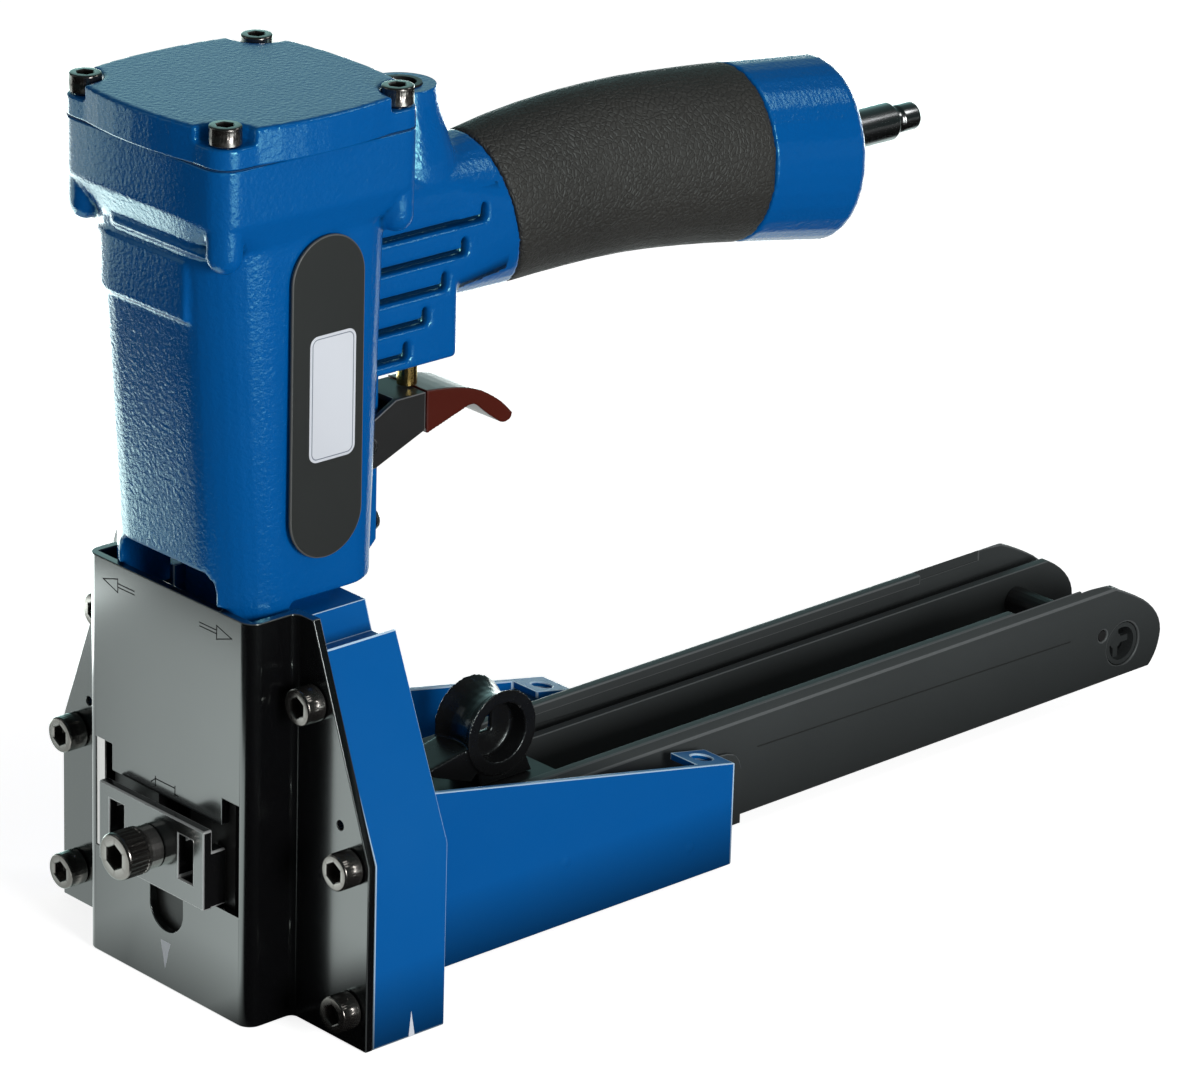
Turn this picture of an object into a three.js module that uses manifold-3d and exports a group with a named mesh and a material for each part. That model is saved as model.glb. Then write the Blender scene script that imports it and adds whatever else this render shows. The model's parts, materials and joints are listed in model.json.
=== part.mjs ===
// Pneumatic carton closing stapler with clinching claws.
// Millimetres, +Z up, +Y towards the handle and magazine, +X to the right seen from the front.
// The origin is on the sole, midway between the side blocks, where the front cover's flanges meet them.

import * as THREE from 'three';
import { mergeVertices } from 'three/addons/utils/BufferGeometryUtils.js';
import Module from 'manifold-3d';

const wasm = await Module();
wasm.setup();

// Clearances
const seat = 0.3; // between pieces that rest on each other
const slip = 0.25; // round a piece that slides or turns
const overrun = 3; // how far a cutter runs past a face

// Nose: folded front cover, side blocks and guide
const sheet = 2.5;
const coverHalfWidth = 34.2;
const coverHeight = 114.3;
const coverDepth = 17.74; // front face to the side blocks
const bendRadius = 4;
const innerBend = 2.1;
const blockInnerHalf = 25.6;
const clawClear = 5.6;
const clawX = blockInnerHalf + clawClear;
const clawOuter = 22;
const flangeEdge = 10.8; // from the claws' sweep to the edge of the flange
const flangeHalfWidth = clawX + clawOuter + flangeEdge;
const shoulderHeight = 52.7; // where the flanges and blocks start to slant
const flangeTopLedge = 6.6;
const flangeTopHalf = coverHalfWidth + flangeTopLedge;
const blockDepth = 24.5;
const blockTopDrop = 4.1; // from the cover's top to the blocks' tops
const blockHeight = coverHeight - blockTopDrop;
const blockStep = 6.2;
const blockTopInnerHalf = blockInnerHalf - blockStep;
const blockLedgeDrop = 26.2;
const blockLedgeHeight = blockHeight - blockLedgeDrop; // above it the blocks come closer together
const blockTopOuterHalf = 30;
const blockNotch = { inner: 32.8, outer: 35.7, depth: 8 };
const blockEar = { half: 42, drop: 4.6 };

// Windows of the cover
const windowLow = 31;
const windowHigh = 55;
const windowHalf = 23;
const notchHalf = 30;
const notchHigh = 62.5;
const peepHalf = 6.9; // U-shaped peep slot under the window
const peepLow = 16.2;

// Socket head screws
const capScrew = { head: 4.25, height: 5, shank: 2.4, flats: 4, socket: 2.6, chamfer: 0.5, length: 17 };
const flangeScrew = { head: 5, height: 6, shank: 2.9, flats: 5, socket: 3, chamfer: 0.6, length: 10 };
const depthScrew = { head: 6.5, height: 8, shank: 3.9, flats: 6, socket: 4.2, chamfer: 0.8, length: 19 };
const screwFacets = 16;
const hexSides = 6;

// Places of the flange screws, in from the flange's edges and up from the sole
const screwInset = 6.5;
const screwRows = { low: 10.5, midDrop: 1.7, topDrop: 22.3, topOut: 1.2 };
const screwPlaces = [
  { row: 'low', x: flangeHalfWidth - screwInset, z: screwRows.low },
  { row: 'mid', x: flangeHalfWidth - screwInset, z: shoulderHeight - screwRows.midDrop },
  { row: 'top', x: flangeTopHalf + screwRows.topOut, z: coverHeight - screwRows.topDrop },
];
const pinInset = 11.5;
const pinRise = 8.3;
const pinHole = { x: flangeHalfWidth - pinInset, z: shoulderHeight + pinRise, radius: 1.3 };

// Cylinder housing
const axisY = 6.09;
const footClear = 7.7; // from the cover's top to the column's foot
const columnFoot = coverHeight + footClear;
const columnToe = 7.2;
const column = {
  half: 30.3, footHalfX: 29.4, footHalfY: 26.4, footShift: 1.6, corner: 15, foot: columnFoot,
  low: columnFoot - columnToe, high: 213,
};
const head = { half: 33.2, corner: 6, low: 221.5, high: 236.4 };
const tongueReach = 26; // below the column's foot
const tongue = { half: 18.9, low: column.foot - tongueReach, front: 3, rear: 22 };
const archRise = 1.5;
const footArch = { half: 19.5, high: column.foot + archRise, corner: 5 };
const legReach = 16;
const legLow = column.foot - legReach; // legs of the column behind the cover
const pad = { left: -33, right: 15.5, low: 192.4, high: 208.2, proud: 0.5, wrap: -0.2, rear: -13 };
const screwEdge = 5.13;
const screwPitchHalf = head.half - screwEdge;
const screwHoleLow = 224;
const gasketSheet = 0.6;
const capThickness = 9.5;
const capLedge = 5.2; // where the screw heads sit in the corner notches, up from the cap's underside
const capBase = head.high + gasketSheet;
const capHigh = capBase + capThickness;
const capFloor = capBase + capLedge;
const capBulge = 2.2;
const notchRadius = 8.6;

// Air motor inside the column
const bore = { radius: 22.6, low: 170, sleeveWall: 1.8 };
const pistonDrop = 6; // from the cap's underside
const piston = { height: 16, top: capBase - pistonDrop, stem: 5, groove: 4, ringDrop: 5 };
const stroke = 28;
const bumperTop = piston.top - piston.height - stroke - seat;

// Driver and staples
const crownHalf = 17.3;
const bladeTopDrop = 12; // from the housing's tongue
const blade = { thickness: 2, low: 29.8, high: tongue.low - bladeTopDrop, shoulder: 8 };
const guideStep = 33; // below it the guide block comes close to the blade

// Clinching claws
const claw = {
  x: clawX, z: 13, outer: clawOuter, inner: 17, tipDeg: -22, taperDeg: 34, heelDeg: 55, webDeg: 37,
  front: 3.6, thickness: 5, hub: 5.2, pin: 2.5, pinLength: 15, groove: 1,
};
const crank = { length: 18, deg: 80, width: 5.2, roller: 2.6, rollerPin: 1.3 };
const pocketDepth = 8.9;
const yokeArm = { outer: 19.8, inner: 3.8, width: 11, drop: 11 };
const yoke = {
  front: 0.8, thickness: 2.4, gap: 3.6, bossHalf: 10, outer: claw.x + yokeArm.outer,
  inner: claw.x + yokeArm.inner, barHigh: blade.high - yokeArm.drop,
  barLow: blade.high - yokeArm.drop - yokeArm.width,
};

// Depth adjuster
const plate = { half: 22, low: 31.3, high: 54, proud: 5.2, thickness: 3 };
const plateSlot = { inner: 11.5, outer: 17.5, low: 37.5, high: 50 };
const adjustTravel = 7;
const bush = { radius: 6, length: 3.6 };
const nut = { half: 6.4, height: 12, depth: 7 };

// Magazine, drawn level and then tipped up to the rear
const tipDeg = 0.5;
const magazineRear = 345.4;
const lipBack = 61.4; // the next five lie this far in front of the magazine's rear end
const earBack = 33.4;
const earHoleBack = 16.9;
const floorBack = 41.4;
const endPinBack = 25.9;
const rail = {
  half: 24, wall: 2.6, high: 35, shoulder: 33.2, bevel: 3, lipInner: 18, lip: 3.2,
  low: 4.1, front: 9.5, rear: magazineRear, floor: 2.6, floorInner: 14, lipRear: magazineRear - lipBack,
};
const ear = {
  start: magazineRear - earBack, holeY: magazineRear - earHoleBack, holeZ: 14.5, hole: 6.9,
};
// Shares of the ear's length and height: the top's end, then pairs of a bend and an end
const earShares = [
  [0.299, 0.026], [0.539, 0.129], [0.749, 0.272], [0.994, 0.453], [1, 0.663], [0.988, 0.871], [0.862, 1],
];
const core = {
  half: 15.5, wall: 3, low: 7, floor: 2.4, high: 28.5, front: 7.8, floorRear: magazineRear - floorBack,
};
const endPin = { y: magazineRear - endPinBack, z: 19.3, radius: 1.6, spacer: 4.5 };
const plug = { rim: 1.4, face: 23.5, back: 19.6, flange: 8.2, hub: 2.4, spoke: 2 };
const sleeveSheet = 1.2;
const sleeve = { low: 2.6, high: 25.6, rear: 169, corner: 8 };

// Support brackets beside the magazine
const bracket = {
  half: 40, sheet: 2, low: 1.4, frontHigh: 56.8, rearHigh: 32.1, rear: 151.8, ledgeInner: 13,
  ledgeSheet: 1.2,
  flangeInner: 28, tabInner: 27.6, tabFront: 138.5, holeX: 33.2, holeY: 145.4, hole: 3,
};

// Pusher
const slider = { front: 13, rear: 112, sheet: 1.2, legLow: 18 };
const knob = { y: 94.6, z: 44.9, rim: 12.6, waist: 10.2, half: 7.2, hollow: 8.6, web: 2, inset: 0.8 };
// Shares of the knob's rim, from its middle: its hooked foot, and the window through its web
const footRearShares = [[0.952, -1.167], [0.714, -0.635]];
const footHookShares = [
  [-0.94, -0.159], [-2.008, -0.357], [-1.952, -0.548], [-0.825, -0.976], [-0.635, -0.786], [-0.556, -1.167],
];
const windowShares = { front: -0.437, rear: 0.119, low: -0.119, high: 0.317 };
const pusherTravel = 190;

// Handle, oval in section, and its stations: distance back, height of the middle, half height
const gripFront = 87.2;
const gripRear = 178.2;
const gripSlant = -0.28; // how far the grip's front edge leans back for each mm down
const gripThickness = 2.6;
const tailLength = 36.3;
const handleEnd = gripRear + tailLength;
const handleStations = [
  new THREE.Vector3(55, 192, 19.5),
  new THREE.Vector3(78, 196.5, 22.4),
  new THREE.Vector3(105, 198.9, 23.9),
  new THREE.Vector3(135, 199, 24.4),
  new THREE.Vector3(160, 196.8, 24.9),
  new THREE.Vector3(178, 194.5, 25.5),
  new THREE.Vector3(222, 188, 27),
];
const handleCurve = new THREE.CatmullRomCurve3(handleStations);
const slim = { half: 16.5, until: 105 };
const broad = { half: 20.6, from: 182 };
const endRound = 3.5;
const nipple = {
  z: 191.3, length: 37.1, body: 5.5, collar: 7, collarLength: 7, groove: 3.3, tip: 3.8, bore: 2.4,
};

// Neck, trigger housing, exhaust boss and spine
const neck = { half: 15.8, low: 177.8, high: 218, corner: 10, front: 26 };
const valveHousing = { low: 163.6, rear: 68.5, corner: 3.5, high: 196 };
const grooves = {
  count: 5, top: 200.4, pitch: 8.3, reach: 75.5, step: 6.5, width: 2.3, depth: 2.4, hook: 3.2,
};
const bossRise = 2; // above the housing's head
const bossFoot = 198.4;
const boss = {
  y: 59.3, top: head.high + bossRise, hole: 6, holeDepth: 16, insertWall: 1.4, insertDrop: 1.5,
};
const bossRadius = 14.9;
// Shares of the boss's drop and of its radius
const bossShares = [[0, 0.62], [0.15, 0.68], [0.35, 0.83], [0.52, 0.97], [0.7, 1], [0.87, 0.87], [1, 0.6]];
const spine = { half: 3.6, rear: 50.6, low: legLow, heel: 6 };
const pivot = { y: 44.4, z: 141, radius: 1.9 };
const domeShare = 0.309; // of the way from the spine's foot to the trigger's pivot
const domeScrew = {
  z: spine.low + (pivot.z - spine.low) * domeShare, radius: 3.5, height: 2.6, shank: 1.9, length: 9,
};
const strip = { half: 12, low: 126, high: 213.4, y: 9.2, thickness: 1.1 };

// Trigger
const lever = {
  half: 7.7, sheet: 1.5, top: 152.2, front: 39.5, rear: 63.4, lowFront: 134.5, lowRear: 141.4, nose: 5,
  toe: 3, heel: 2,
};
const leverTongue = { half: 4, rear: 76, low: 146.4, high: 148.6 };
const valve = { y: 63.4, radius: 2.8, gap: 0.5, bodyRadius: 4.4, bodyHigh: 182, roof: 4 };
const leverGap = 2.6; // from the spine to the lever's web, room for the lever's turn
const finger = { length: 30.5, depth: 15.6, overhang: 0.4 };
// Shares of the finger piece's length and depth: its two front corners, then pairs of a bend and an end
const fingerShares = [
  [0, 0.782], [0, 0], [0.403, 0.064], [0.633, 0.269], [0.879, 0.526], [1, 0.833],
  [0.993, 1], [0.875, 0.962], [0.731, 0.782], [0.607, 0.558], [0.548, 0.449], [0.475, 0.487],
];

// Colours
const blue = paint(0x0b4f94, 0.32, 0.1);
const blackGloss = paint(0x16171a, 0.28, 0.3);
const blackSatin = paint(0x2a2d30, 0.45, 0.2);
const blackOxide = paint(0x2b2826, 0.38, 0.8);
const steel = paint(0x9a9da0, 0.3, 0.9);
const darkSteel = paint(0x4a4c50, 0.4, 0.8);
const brass = paint(0xb48a35, 0.3, 0.9);
const rubber = paint(0x2e2c29, 0.85, 0);
const redPlastic = paint(0x6a2012, 0.42, 0);
const fibre = paint(0x8a7d66, 0.9, 0);

const stapler = new THREE.Group();
stapler.name = 'carton_closing_stapler';

addHousing();
addHead();
addAirMotor();
addHandleParts();
addTrigger();
addNose();
addClinchers();
addAdjuster();
addMagazine();
addBrackets();
addPusher();

function paint(color, roughness, metalness) {
  return new THREE.MeshStandardMaterial({ color, roughness, metalness });
}

function add(name, body, material, place = [0, 0, 0]) {
  const mesh = new THREE.Mesh(surfaceOf(body), material);
  mesh.name = name;
  mesh.position.set(...place);
  stapler.add(mesh);
  return mesh;
}

// Solids, joins and cuts
function solid(geometry) {
  const bare = geometry.clone();
  bare.deleteAttribute('normal');
  bare.deleteAttribute('uv');
  const merged = mergeVertices(bare);
  return new wasm.Manifold(new wasm.Mesh({
    numProp: 3,
    vertProperties: new Float32Array(merged.attributes.position.array),
    triVerts: new Uint32Array(merged.index.array),
  }));
}

function surfaceOf(body) {
  const mesh = body.getMesh();
  const geometry = new THREE.BufferGeometry();
  geometry.setAttribute('position', new THREE.BufferAttribute(new Float32Array(mesh.vertProperties), 3));
  geometry.setIndex(new THREE.BufferAttribute(new Uint32Array(mesh.triVerts), 1));
  geometry.computeVertexNormals();
  return geometry;
}

function join(...bodies) {
  return bodies.reduce((whole, body) => whole.add(body));
}

function cut(body, ...tools) {
  return tools.reduce((rest, tool) => rest.subtract(tool), body);
}

// The same body on the other side of the middle plane
function mirrored(body) {
  const geometry = surfaceOf(body);
  geometry.scale(-1, 1, 1);
  const order = geometry.index.array;
  for (let i = 0; i < order.length; i += 3) {
    [order[i], order[i + 1]] = [order[i + 1], order[i]];
  }
  return solid(geometry);
}

function bothSides(body) {
  return join(body, mirrored(body));
}

// Basic forms
function block(x0, x1, y0, y1, z0, z1) {
  const box = new THREE.BoxGeometry(x1 - x0, y1 - y0, z1 - z0);
  box.translate((x0 + x1) / 2, (y0 + y1) / 2, (z0 + z1) / 2);
  return solid(box);
}

function barX(radius, x0, x1, y, z, facets = 24) {
  const bar = new THREE.CylinderGeometry(radius, radius, x1 - x0, facets);
  bar.rotateZ(-Math.PI / 2);
  bar.translate((x0 + x1) / 2, y, z);
  return solid(bar);
}

function barY(radius, y0, y1, x, z, facets = 24) {
  const bar = new THREE.CylinderGeometry(radius, radius, y1 - y0, facets);
  bar.translate(x, (y0 + y1) / 2, z);
  return solid(bar);
}

function barZ(radius, z0, z1, x, y, facets = 24) {
  const bar = new THREE.CylinderGeometry(radius, radius, z1 - z0, facets);
  bar.rotateX(Math.PI / 2);
  bar.translate(x, y, (z0 + z1) / 2);
  return solid(bar);
}

function outline(points) {
  return new THREE.Shape(points.map(([u, v]) => new THREE.Vector2(u, v)));
}

function extruded(shape, depth, curveSegments) {
  return new THREE.ExtrudeGeometry(shape, { depth, bevelEnabled: false, curveSegments });
}

// An outline in X and Z, as thick as y0 to y1
function plateAcross(shape, y0, y1, curveSegments = 8) {
  const geometry = extruded(shape, y1 - y0, curveSegments);
  geometry.rotateX(Math.PI / 2);
  geometry.translate(0, y1, 0);
  return solid(geometry);
}

// An outline in Y and Z, as thick as x0 to x1
function plateAlong(shape, x0, x1, curveSegments = 8) {
  const geometry = extruded(shape, x1 - x0, curveSegments);
  const turn = new THREE.Matrix4().makeBasis(
    new THREE.Vector3(0, 1, 0),
    new THREE.Vector3(0, 0, 1),
    new THREE.Vector3(1, 0, 0),
  );
  geometry.applyMatrix4(turn);
  geometry.translate(x0, 0, 0);
  return solid(geometry);
}

// An outline in X and Y, as tall as z0 to z1
function plateUp(shape, z0, z1, curveSegments = 8) {
  const geometry = extruded(shape, z1 - z0, curveSegments);
  geometry.translate(0, 0, z0);
  return solid(geometry);
}

// A profile of radius and height, turned about the Z axis
function turned(profile, facets = 24) {
  return solid(new THREE.LatheGeometry(profile.map(([r, z]) => new THREE.Vector2(r, z)), facets)
    .rotateX(Math.PI / 2));
}

// A turned profile whose axis points back along -Y, so that its heights run forwards
function turnedForward(profile, x, y, z, facets = 24) {
  const geometry = new THREE.LatheGeometry(profile.map(([r, h]) => new THREE.Vector2(r, h)), facets);
  geometry.rotateZ(Math.PI);
  geometry.translate(x, y, z);
  return solid(geometry);
}

// A turned profile whose heights run back
function turnedBack(profile, x, y, z, facets = 24) {
  const geometry = new THREE.LatheGeometry(profile.map(([r, h]) => new THREE.Vector2(r, h)), facets);
  geometry.translate(x, y, z);
  return solid(geometry);
}

// Points round a rounded rectangle, against the clock
function roundedRing(halfA, halfB, radius, steps) {
  const ring = [];
  for (let corner = 0; corner < 4; corner++) {
    const signA = corner === 0 || corner === 3 ? 1 : -1;
    const signB = corner < 2 ? 1 : -1;
    for (let step = 0; step <= steps; step++) {
      const angle = (corner + step / steps) * Math.PI / 2;
      ring.push([
        signA * (halfA - radius) + radius * Math.cos(angle),
        signB * (halfB - radius) + radius * Math.sin(angle),
      ]);
    }
  }
  return ring;
}

// A closed skin through rings of equally many points, with a flat fan over each end
function loft(rings) {
  const count = rings[0].length;
  const last = (rings.length - 1) * count;
  const faces = [];
  for (let ring = 0; ring + 1 < rings.length; ring++) {
    for (let i = 0; i < count; i++) {
      const a = ring * count + i;
      const b = ring * count + (i + 1) % count;
      faces.push(a, b, b + count, a, b + count, a + count);
    }
  }
  for (let i = 1; i + 1 < count; i++) {
    faces.push(0, i + 1, i, last, last + i, last + i + 1);
  }
  const geometry = new THREE.BufferGeometry();
  geometry.setAttribute('position', new THREE.Float32BufferAttribute(rings.flat(2), 3));
  geometry.setIndex(faces);
  return solid(geometry);
}

// A ring of a column, level at height z
function levelRing(halfX, halfY, radius, z, shift = 0, steps = 7) {
  return roundedRing(halfX, halfY, radius, steps).map(([x, y]) => [x, axisY + shift + y, z]);
}

// A ring of the neck, upright at distance y
function uprightRing(halfX, low, high, radius, y, steps = 7) {
  const middle = (low + high) / 2;
  return roundedRing((high - low) / 2, halfX, radius, steps).map(([z, x]) => [x, y, middle + z]);
}

// The handle's middle, half height and half width at distance y
function handleAt(y) {
  let low = 0;
  let high = 1;
  for (let halving = 0; halving < 24; halving++) {
    const share = (low + high) / 2;
    if (handleCurve.getPoint(share).x < y) {
      low = share;
    } else {
      high = share;
    }
  }
  const point = handleCurve.getPoint(low);
  const widen = THREE.MathUtils.smoothstep(y, slim.until, broad.from);
  return { middle: point.y, halfZ: point.z, halfX: slim.half + (broad.half - slim.half) * widen };
}

// An oval ring round the handle, leaned by the slant
function handleRing(y, inset, slant, facets = 32) {
  const ring = [];
  const { middle } = handleAt(y);
  for (let i = 0; i < facets; i++) {
    const angle = (i + 1 / 2) / facets * 2 * Math.PI;
    let z = middle;
    let station = y;
    let here = handleAt(station);
    for (let pass = 0; pass < 2; pass++) {
      z = here.middle + (here.halfZ - inset) * Math.cos(angle);
      station = y + slant * (z - middle);
      here = handleAt(station);
    }
    ring.push([(here.halfX - inset) * Math.sin(angle), station, z]);
  }
  return ring;
}

// Rings from y0 to y1 whose slant fades out along the way
function handleRings(y0, y1, steps, inset, slant = 0) {
  const rings = [];
  for (let step = 0; step <= steps; step++) {
    const share = step / steps;
    rings.push(handleRing(y0 + (y1 - y0) * share, inset, slant * (1 - share)));
  }
  return rings;
}

// A socket head screw that stands on z = 0 with its shank below
function screwProfile({ head: radius, height, shank, chamfer, length }) {
  return [
    [0, -length], [shank, -length], [shank, 0], [radius, 0],
    [radius, height - chamfer], [radius - chamfer, height], [0, height],
  ];
}

function socketScrew(size) {
  const hexRadius = size.flats / Math.sqrt(3);
  const socket = barZ(hexRadius, size.height - size.socket, size.height + overrun, 0, 0, hexSides);
  return cut(turned(screwProfile(size), screwFacets), socket);
}

function forwardScrew(size) {
  const hexRadius = size.flats / Math.sqrt(3);
  const socket = barY(hexRadius, -size.height - overrun, -size.height + size.socket, 0, 0, hexSides);
  return cut(turnedForward(screwProfile(size), 0, 0, 0, screwFacets), socket);
}

// Cylinder housing: head, column, foot, neck, handle core, exhaust boss and spine in one casting
function columnBody() {
  const { half, footHalfX, footHalfY, footShift, corner, foot, low, high } = column;
  const waist = (foot + high) / 2;
  return loft([
    levelRing(footHalfX, footHalfY, corner, low, footShift),
    levelRing(footHalfX, footHalfY, corner, foot, footShift),
    levelRing((half + footHalfX) / 2, (half + footHalfY) / 2, corner, waist, footShift / 2),
    levelRing(half, half, corner, high),
    levelRing(head.half, head.half, head.corner, head.low),
    levelRing(head.half, head.half, head.corner, head.high),
  ]);
}

// Two legs that reach down behind the cover on both sides of the front arch
function columnLegs() {
  const { footHalfX, footHalfY, footShift, corner, foot } = column;
  const front = -coverDepth + sheet + seat;
  const full = loft([legLow, foot].map((z) => levelRing(footHalfX, footHalfY, corner, z, footShift)));
  return full.intersect(block(-footHalfX, footHalfX, front, -seat, legLow, foot));
}

function frontPad() {
  const wide = loft([pad.low, pad.high].map(
    (z) => levelRing(column.half + pad.wrap, column.half + pad.proud, column.corner, z),
  ));
  const reach = axisY - column.half - overrun;
  return wide.intersect(block(pad.left, pad.right, reach, pad.rear, pad.low - overrun, pad.high + overrun));
}

function handleBody() {
  const inset = gripThickness + seat;
  const cored = loft(handleRings(valveHousing.rear, gripRear + overrun, 5, inset));
  const rounding = endRound * (1 - Math.SQRT1_2);
  const tail = loft([
    ...handleRings(gripRear + seat, handleEnd - endRound, 2, 0),
    handleRing(handleEnd - rounding, rounding, 0),
    handleRing(handleEnd, endRound, 0),
  ]);
  const throat = loft([
    uprightRing(neck.half, neck.low, neck.high, neck.corner, neck.front),
    uprightRing(neck.half, neck.low, neck.high, neck.corner, valveHousing.rear - endRound),
    handleRing(gripFront - seat, 0, gripSlant),
  ]);
  return join(cored, tail, throat);
}

function valveHousingBody() {
  const { low, rear, corner, high } = valveHousing;
  const middle = (neck.front + rear) / 2;
  const ring = roundedRing(neck.half, (rear - neck.front) / 2, corner, 4).map(([x, y]) => [x, middle + y]);
  return plateUp(outline(ring), low, high);
}

function ventGrooves() {
  const cutters = [];
  for (let row = 0; row < grooves.count; row++) {
    const z = grooves.top - row * grooves.pitch;
    const end = grooves.reach - row * grooves.step;
    const half = grooves.width / 2;
    const inner = neck.half - grooves.depth;
    const outer = neck.half + overrun * 2;
    cutters.push(join(
      block(inner, outer, axisY, end, z - half, z + half),
      block(inner, outer, end - half, end + half, z, z + grooves.hook),
      barX(half, inner, outer, end, z, 12),
      barX(half, inner, outer, end, z + grooves.hook, 12),
    ));
  }
  return join(...cutters);
}

function exhaustBoss() {
  const drop = boss.top - bossFoot;
  const profile = bossShares.map(([down, out]) => [bossRadius * out, boss.top - drop * down]);
  const body = turned([[0, bossFoot], ...profile.reverse(), [0, boss.top]], 32);
  return solid(surfaceOf(body).translate(0, boss.y, 0));
}

function columnTongue() {
  return block(-tongue.half, tongue.half, tongue.front, tongue.rear, tongue.low, column.foot);
}

function footArchway() {
  const { half, high, corner } = footArch;
  const shape = new THREE.Shape();
  shape.moveTo(-half, tongue.low - overrun);
  shape.lineTo(half, tongue.low - overrun);
  shape.lineTo(half, high - corner);
  shape.absarc(half - corner, high - corner, corner, 0, Math.PI / 2);
  shape.absarc(corner - half, high - corner, corner, Math.PI / 2, Math.PI);
  return plateAcross(shape, axisY - column.half - overrun, tongue.front, 4);
}

function spineBody() {
  const shape = outline([
    [axisY, spine.low], [spine.rear - spine.heel, spine.low], [spine.rear, spine.low + spine.heel],
    [spine.rear, valveHousing.low + overrun], [axisY, valveHousing.low + overrun],
  ]);
  return plateAlong(shape, -spine.half, spine.half);
}

function addHousing() {
  const hole = boss.top - boss.holeDepth;
  const stem = nipple.collar - overrun + slip;
  const nippleHole = barY(stem, handleEnd - nipple.collarLength, handleEnd + overrun, 0, nipple.z, 20);
  const domeFront = spine.rear - domeScrew.length - seat;
  const domeHole = barY(domeScrew.shank + slip, domeFront, spine.rear + overrun, 0, domeScrew.z, 12);
  const mass = join(
    columnBody(),
    columnLegs(),
    frontPad(),
    handleBody(),
    valveHousingBody(),
    exhaustBoss(),
    columnTongue(),
    spineBody(),
  );
  const corners = [-screwPitchHalf, screwPitchHalf];
  const screwHoles = corners.flatMap((x) => corners.map(
    (y) => barZ(capScrew.shank + slip, screwHoleLow, head.high + overrun, x, axisY + y, 12),
  ));
  const shell = cut(
    mass,
    barZ(bore.radius, bore.low, head.high + overrun, 0, axisY, 40),
    barZ(piston.stem + slip, tongue.low - overrun, bore.low + overrun, 0, axisY, 20),
    footArchway(),
    barZ(boss.hole, hole, boss.top + overrun, 0, boss.y, 20),
    barZ(valve.bodyRadius + slip, valveHousing.low - overrun, valve.bodyHigh + seat, 0, valve.y, 20),
    bothSides(ventGrooves()),
    nippleHole,
    domeHole,
    barX(pivot.radius + slip, -spine.half - overrun, spine.half + overrun, pivot.y, pivot.z, 16),
    ...screwHoles,
  );
  add('cylinder_housing', shell, blue);
}

// Cylinder head: gasket, cap with its raised pad, and four screws
function capOutline(half, bulge, notch) {
  const shape = new THREE.Shape();
  const reach = screwPitchHalf - notch * Math.SQRT1_2;
  for (let side = 0; side < 4; side++) {
    const turn = side * Math.PI / 2;
    const at = (u, v) => [u * Math.cos(turn) - v * Math.sin(turn), u * Math.sin(turn) + v * Math.cos(turn)];
    const start = at(half, -reach);
    const bend = at(half + 2 * bulge, 0);
    const end = at(half, reach);
    if (side === 0) {
      shape.moveTo(...start);
    }
    shape.quadraticCurveTo(...bend, ...end);
    const inner = at(reach, reach);
    const next = at(reach, half);
    shape.quadraticCurveTo(...inner, ...next);
  }
  return shape;
}

function addHead() {
  const ring = levelRing(head.half, head.half, head.corner, 0).map(([x, y]) => [x, y]);
  const corners = [-screwPitchHalf, screwPitchHalf];
  const holes = (radius) => corners.flatMap((x) => corners.map(
    (y) => barZ(radius, head.high - overrun, capHigh + overrun, x, axisY + y, 12),
  ));
  const gap = capBase - head.high;
  const gasket = cut(
    plateUp(outline(ring), head.high + gap / 4, capBase - gap / 4),
    barZ(bore.radius, head.high - overrun, capBase + overrun, 0, axisY, 32),
    ...holes(capScrew.shank + slip),
  );
  add('head_gasket', gasket, fibre);
  const padShape = plateUp(capOutline(head.half, capBulge, notchRadius), capBase, capHigh, 6);
  const raised = solid(surfaceOf(padShape).translate(0, axisY, 0));
  const cap = cut(
    join(plateUp(outline(ring), capBase, capFloor), raised),
    ...holes(capScrew.shank + slip),
  );
  add('head_cap', cap, blue);
  for (const [end, signY] of [['front', -1], ['rear', 1]]) {
    for (const [side, signX] of [['left', -1], ['right', 1]]) {
      const place = [signX * screwPitchHalf, axisY + signY * screwPitchHalf, capFloor + seat];
      add(`cap_screw_${end}_${side}`, socketScrew(capScrew), blackOxide, place);
    }
  }
}

// Cylinder sleeve, bumper, piston with its seal, and the driver with the clinching yoke
function addAirMotor() {
  const inside = bore.radius - bore.sleeveWall;
  const liner = cut(
    barZ(bore.radius - slip, bumperTop + seat, head.high - seat, 0, axisY, 40),
    barZ(inside, bore.low, head.high + overrun, 0, axisY, 40),
  );
  add('cylinder_sleeve', liner, steel);
  const bumper = cut(
    barZ(inside - slip, bore.low + seat, bumperTop, 0, axisY, 32),
    barZ(piston.stem + 2 * slip, bore.low - overrun, bumperTop + overrun, 0, axisY, 20),
  );
  add('piston_bumper', bumper, rubber);
  const low = piston.top - piston.height;
  const grooveHigh = piston.top - piston.ringDrop;
  const grooveLow = grooveHigh - piston.groove;
  const side = inside - slip;
  const land = side - 2 * slip - bore.sleeveWall;
  const crown = turned([
    [0, low], [side, low], [side, grooveLow], [land, grooveLow],
    [land, grooveHigh], [side, grooveHigh], [side, piston.top], [0, piston.top],
  ], 32);
  add('piston', crown, steel, [0, axisY, 0]);
  const seal = cut(
    barZ(side, grooveLow + slip, grooveHigh - slip, 0, axisY, 32),
    barZ(land + slip, grooveLow, grooveHigh, 0, axisY, 32),
  );
  add('piston_seal', seal, rubber);
  addDriver(low);
}

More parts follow.
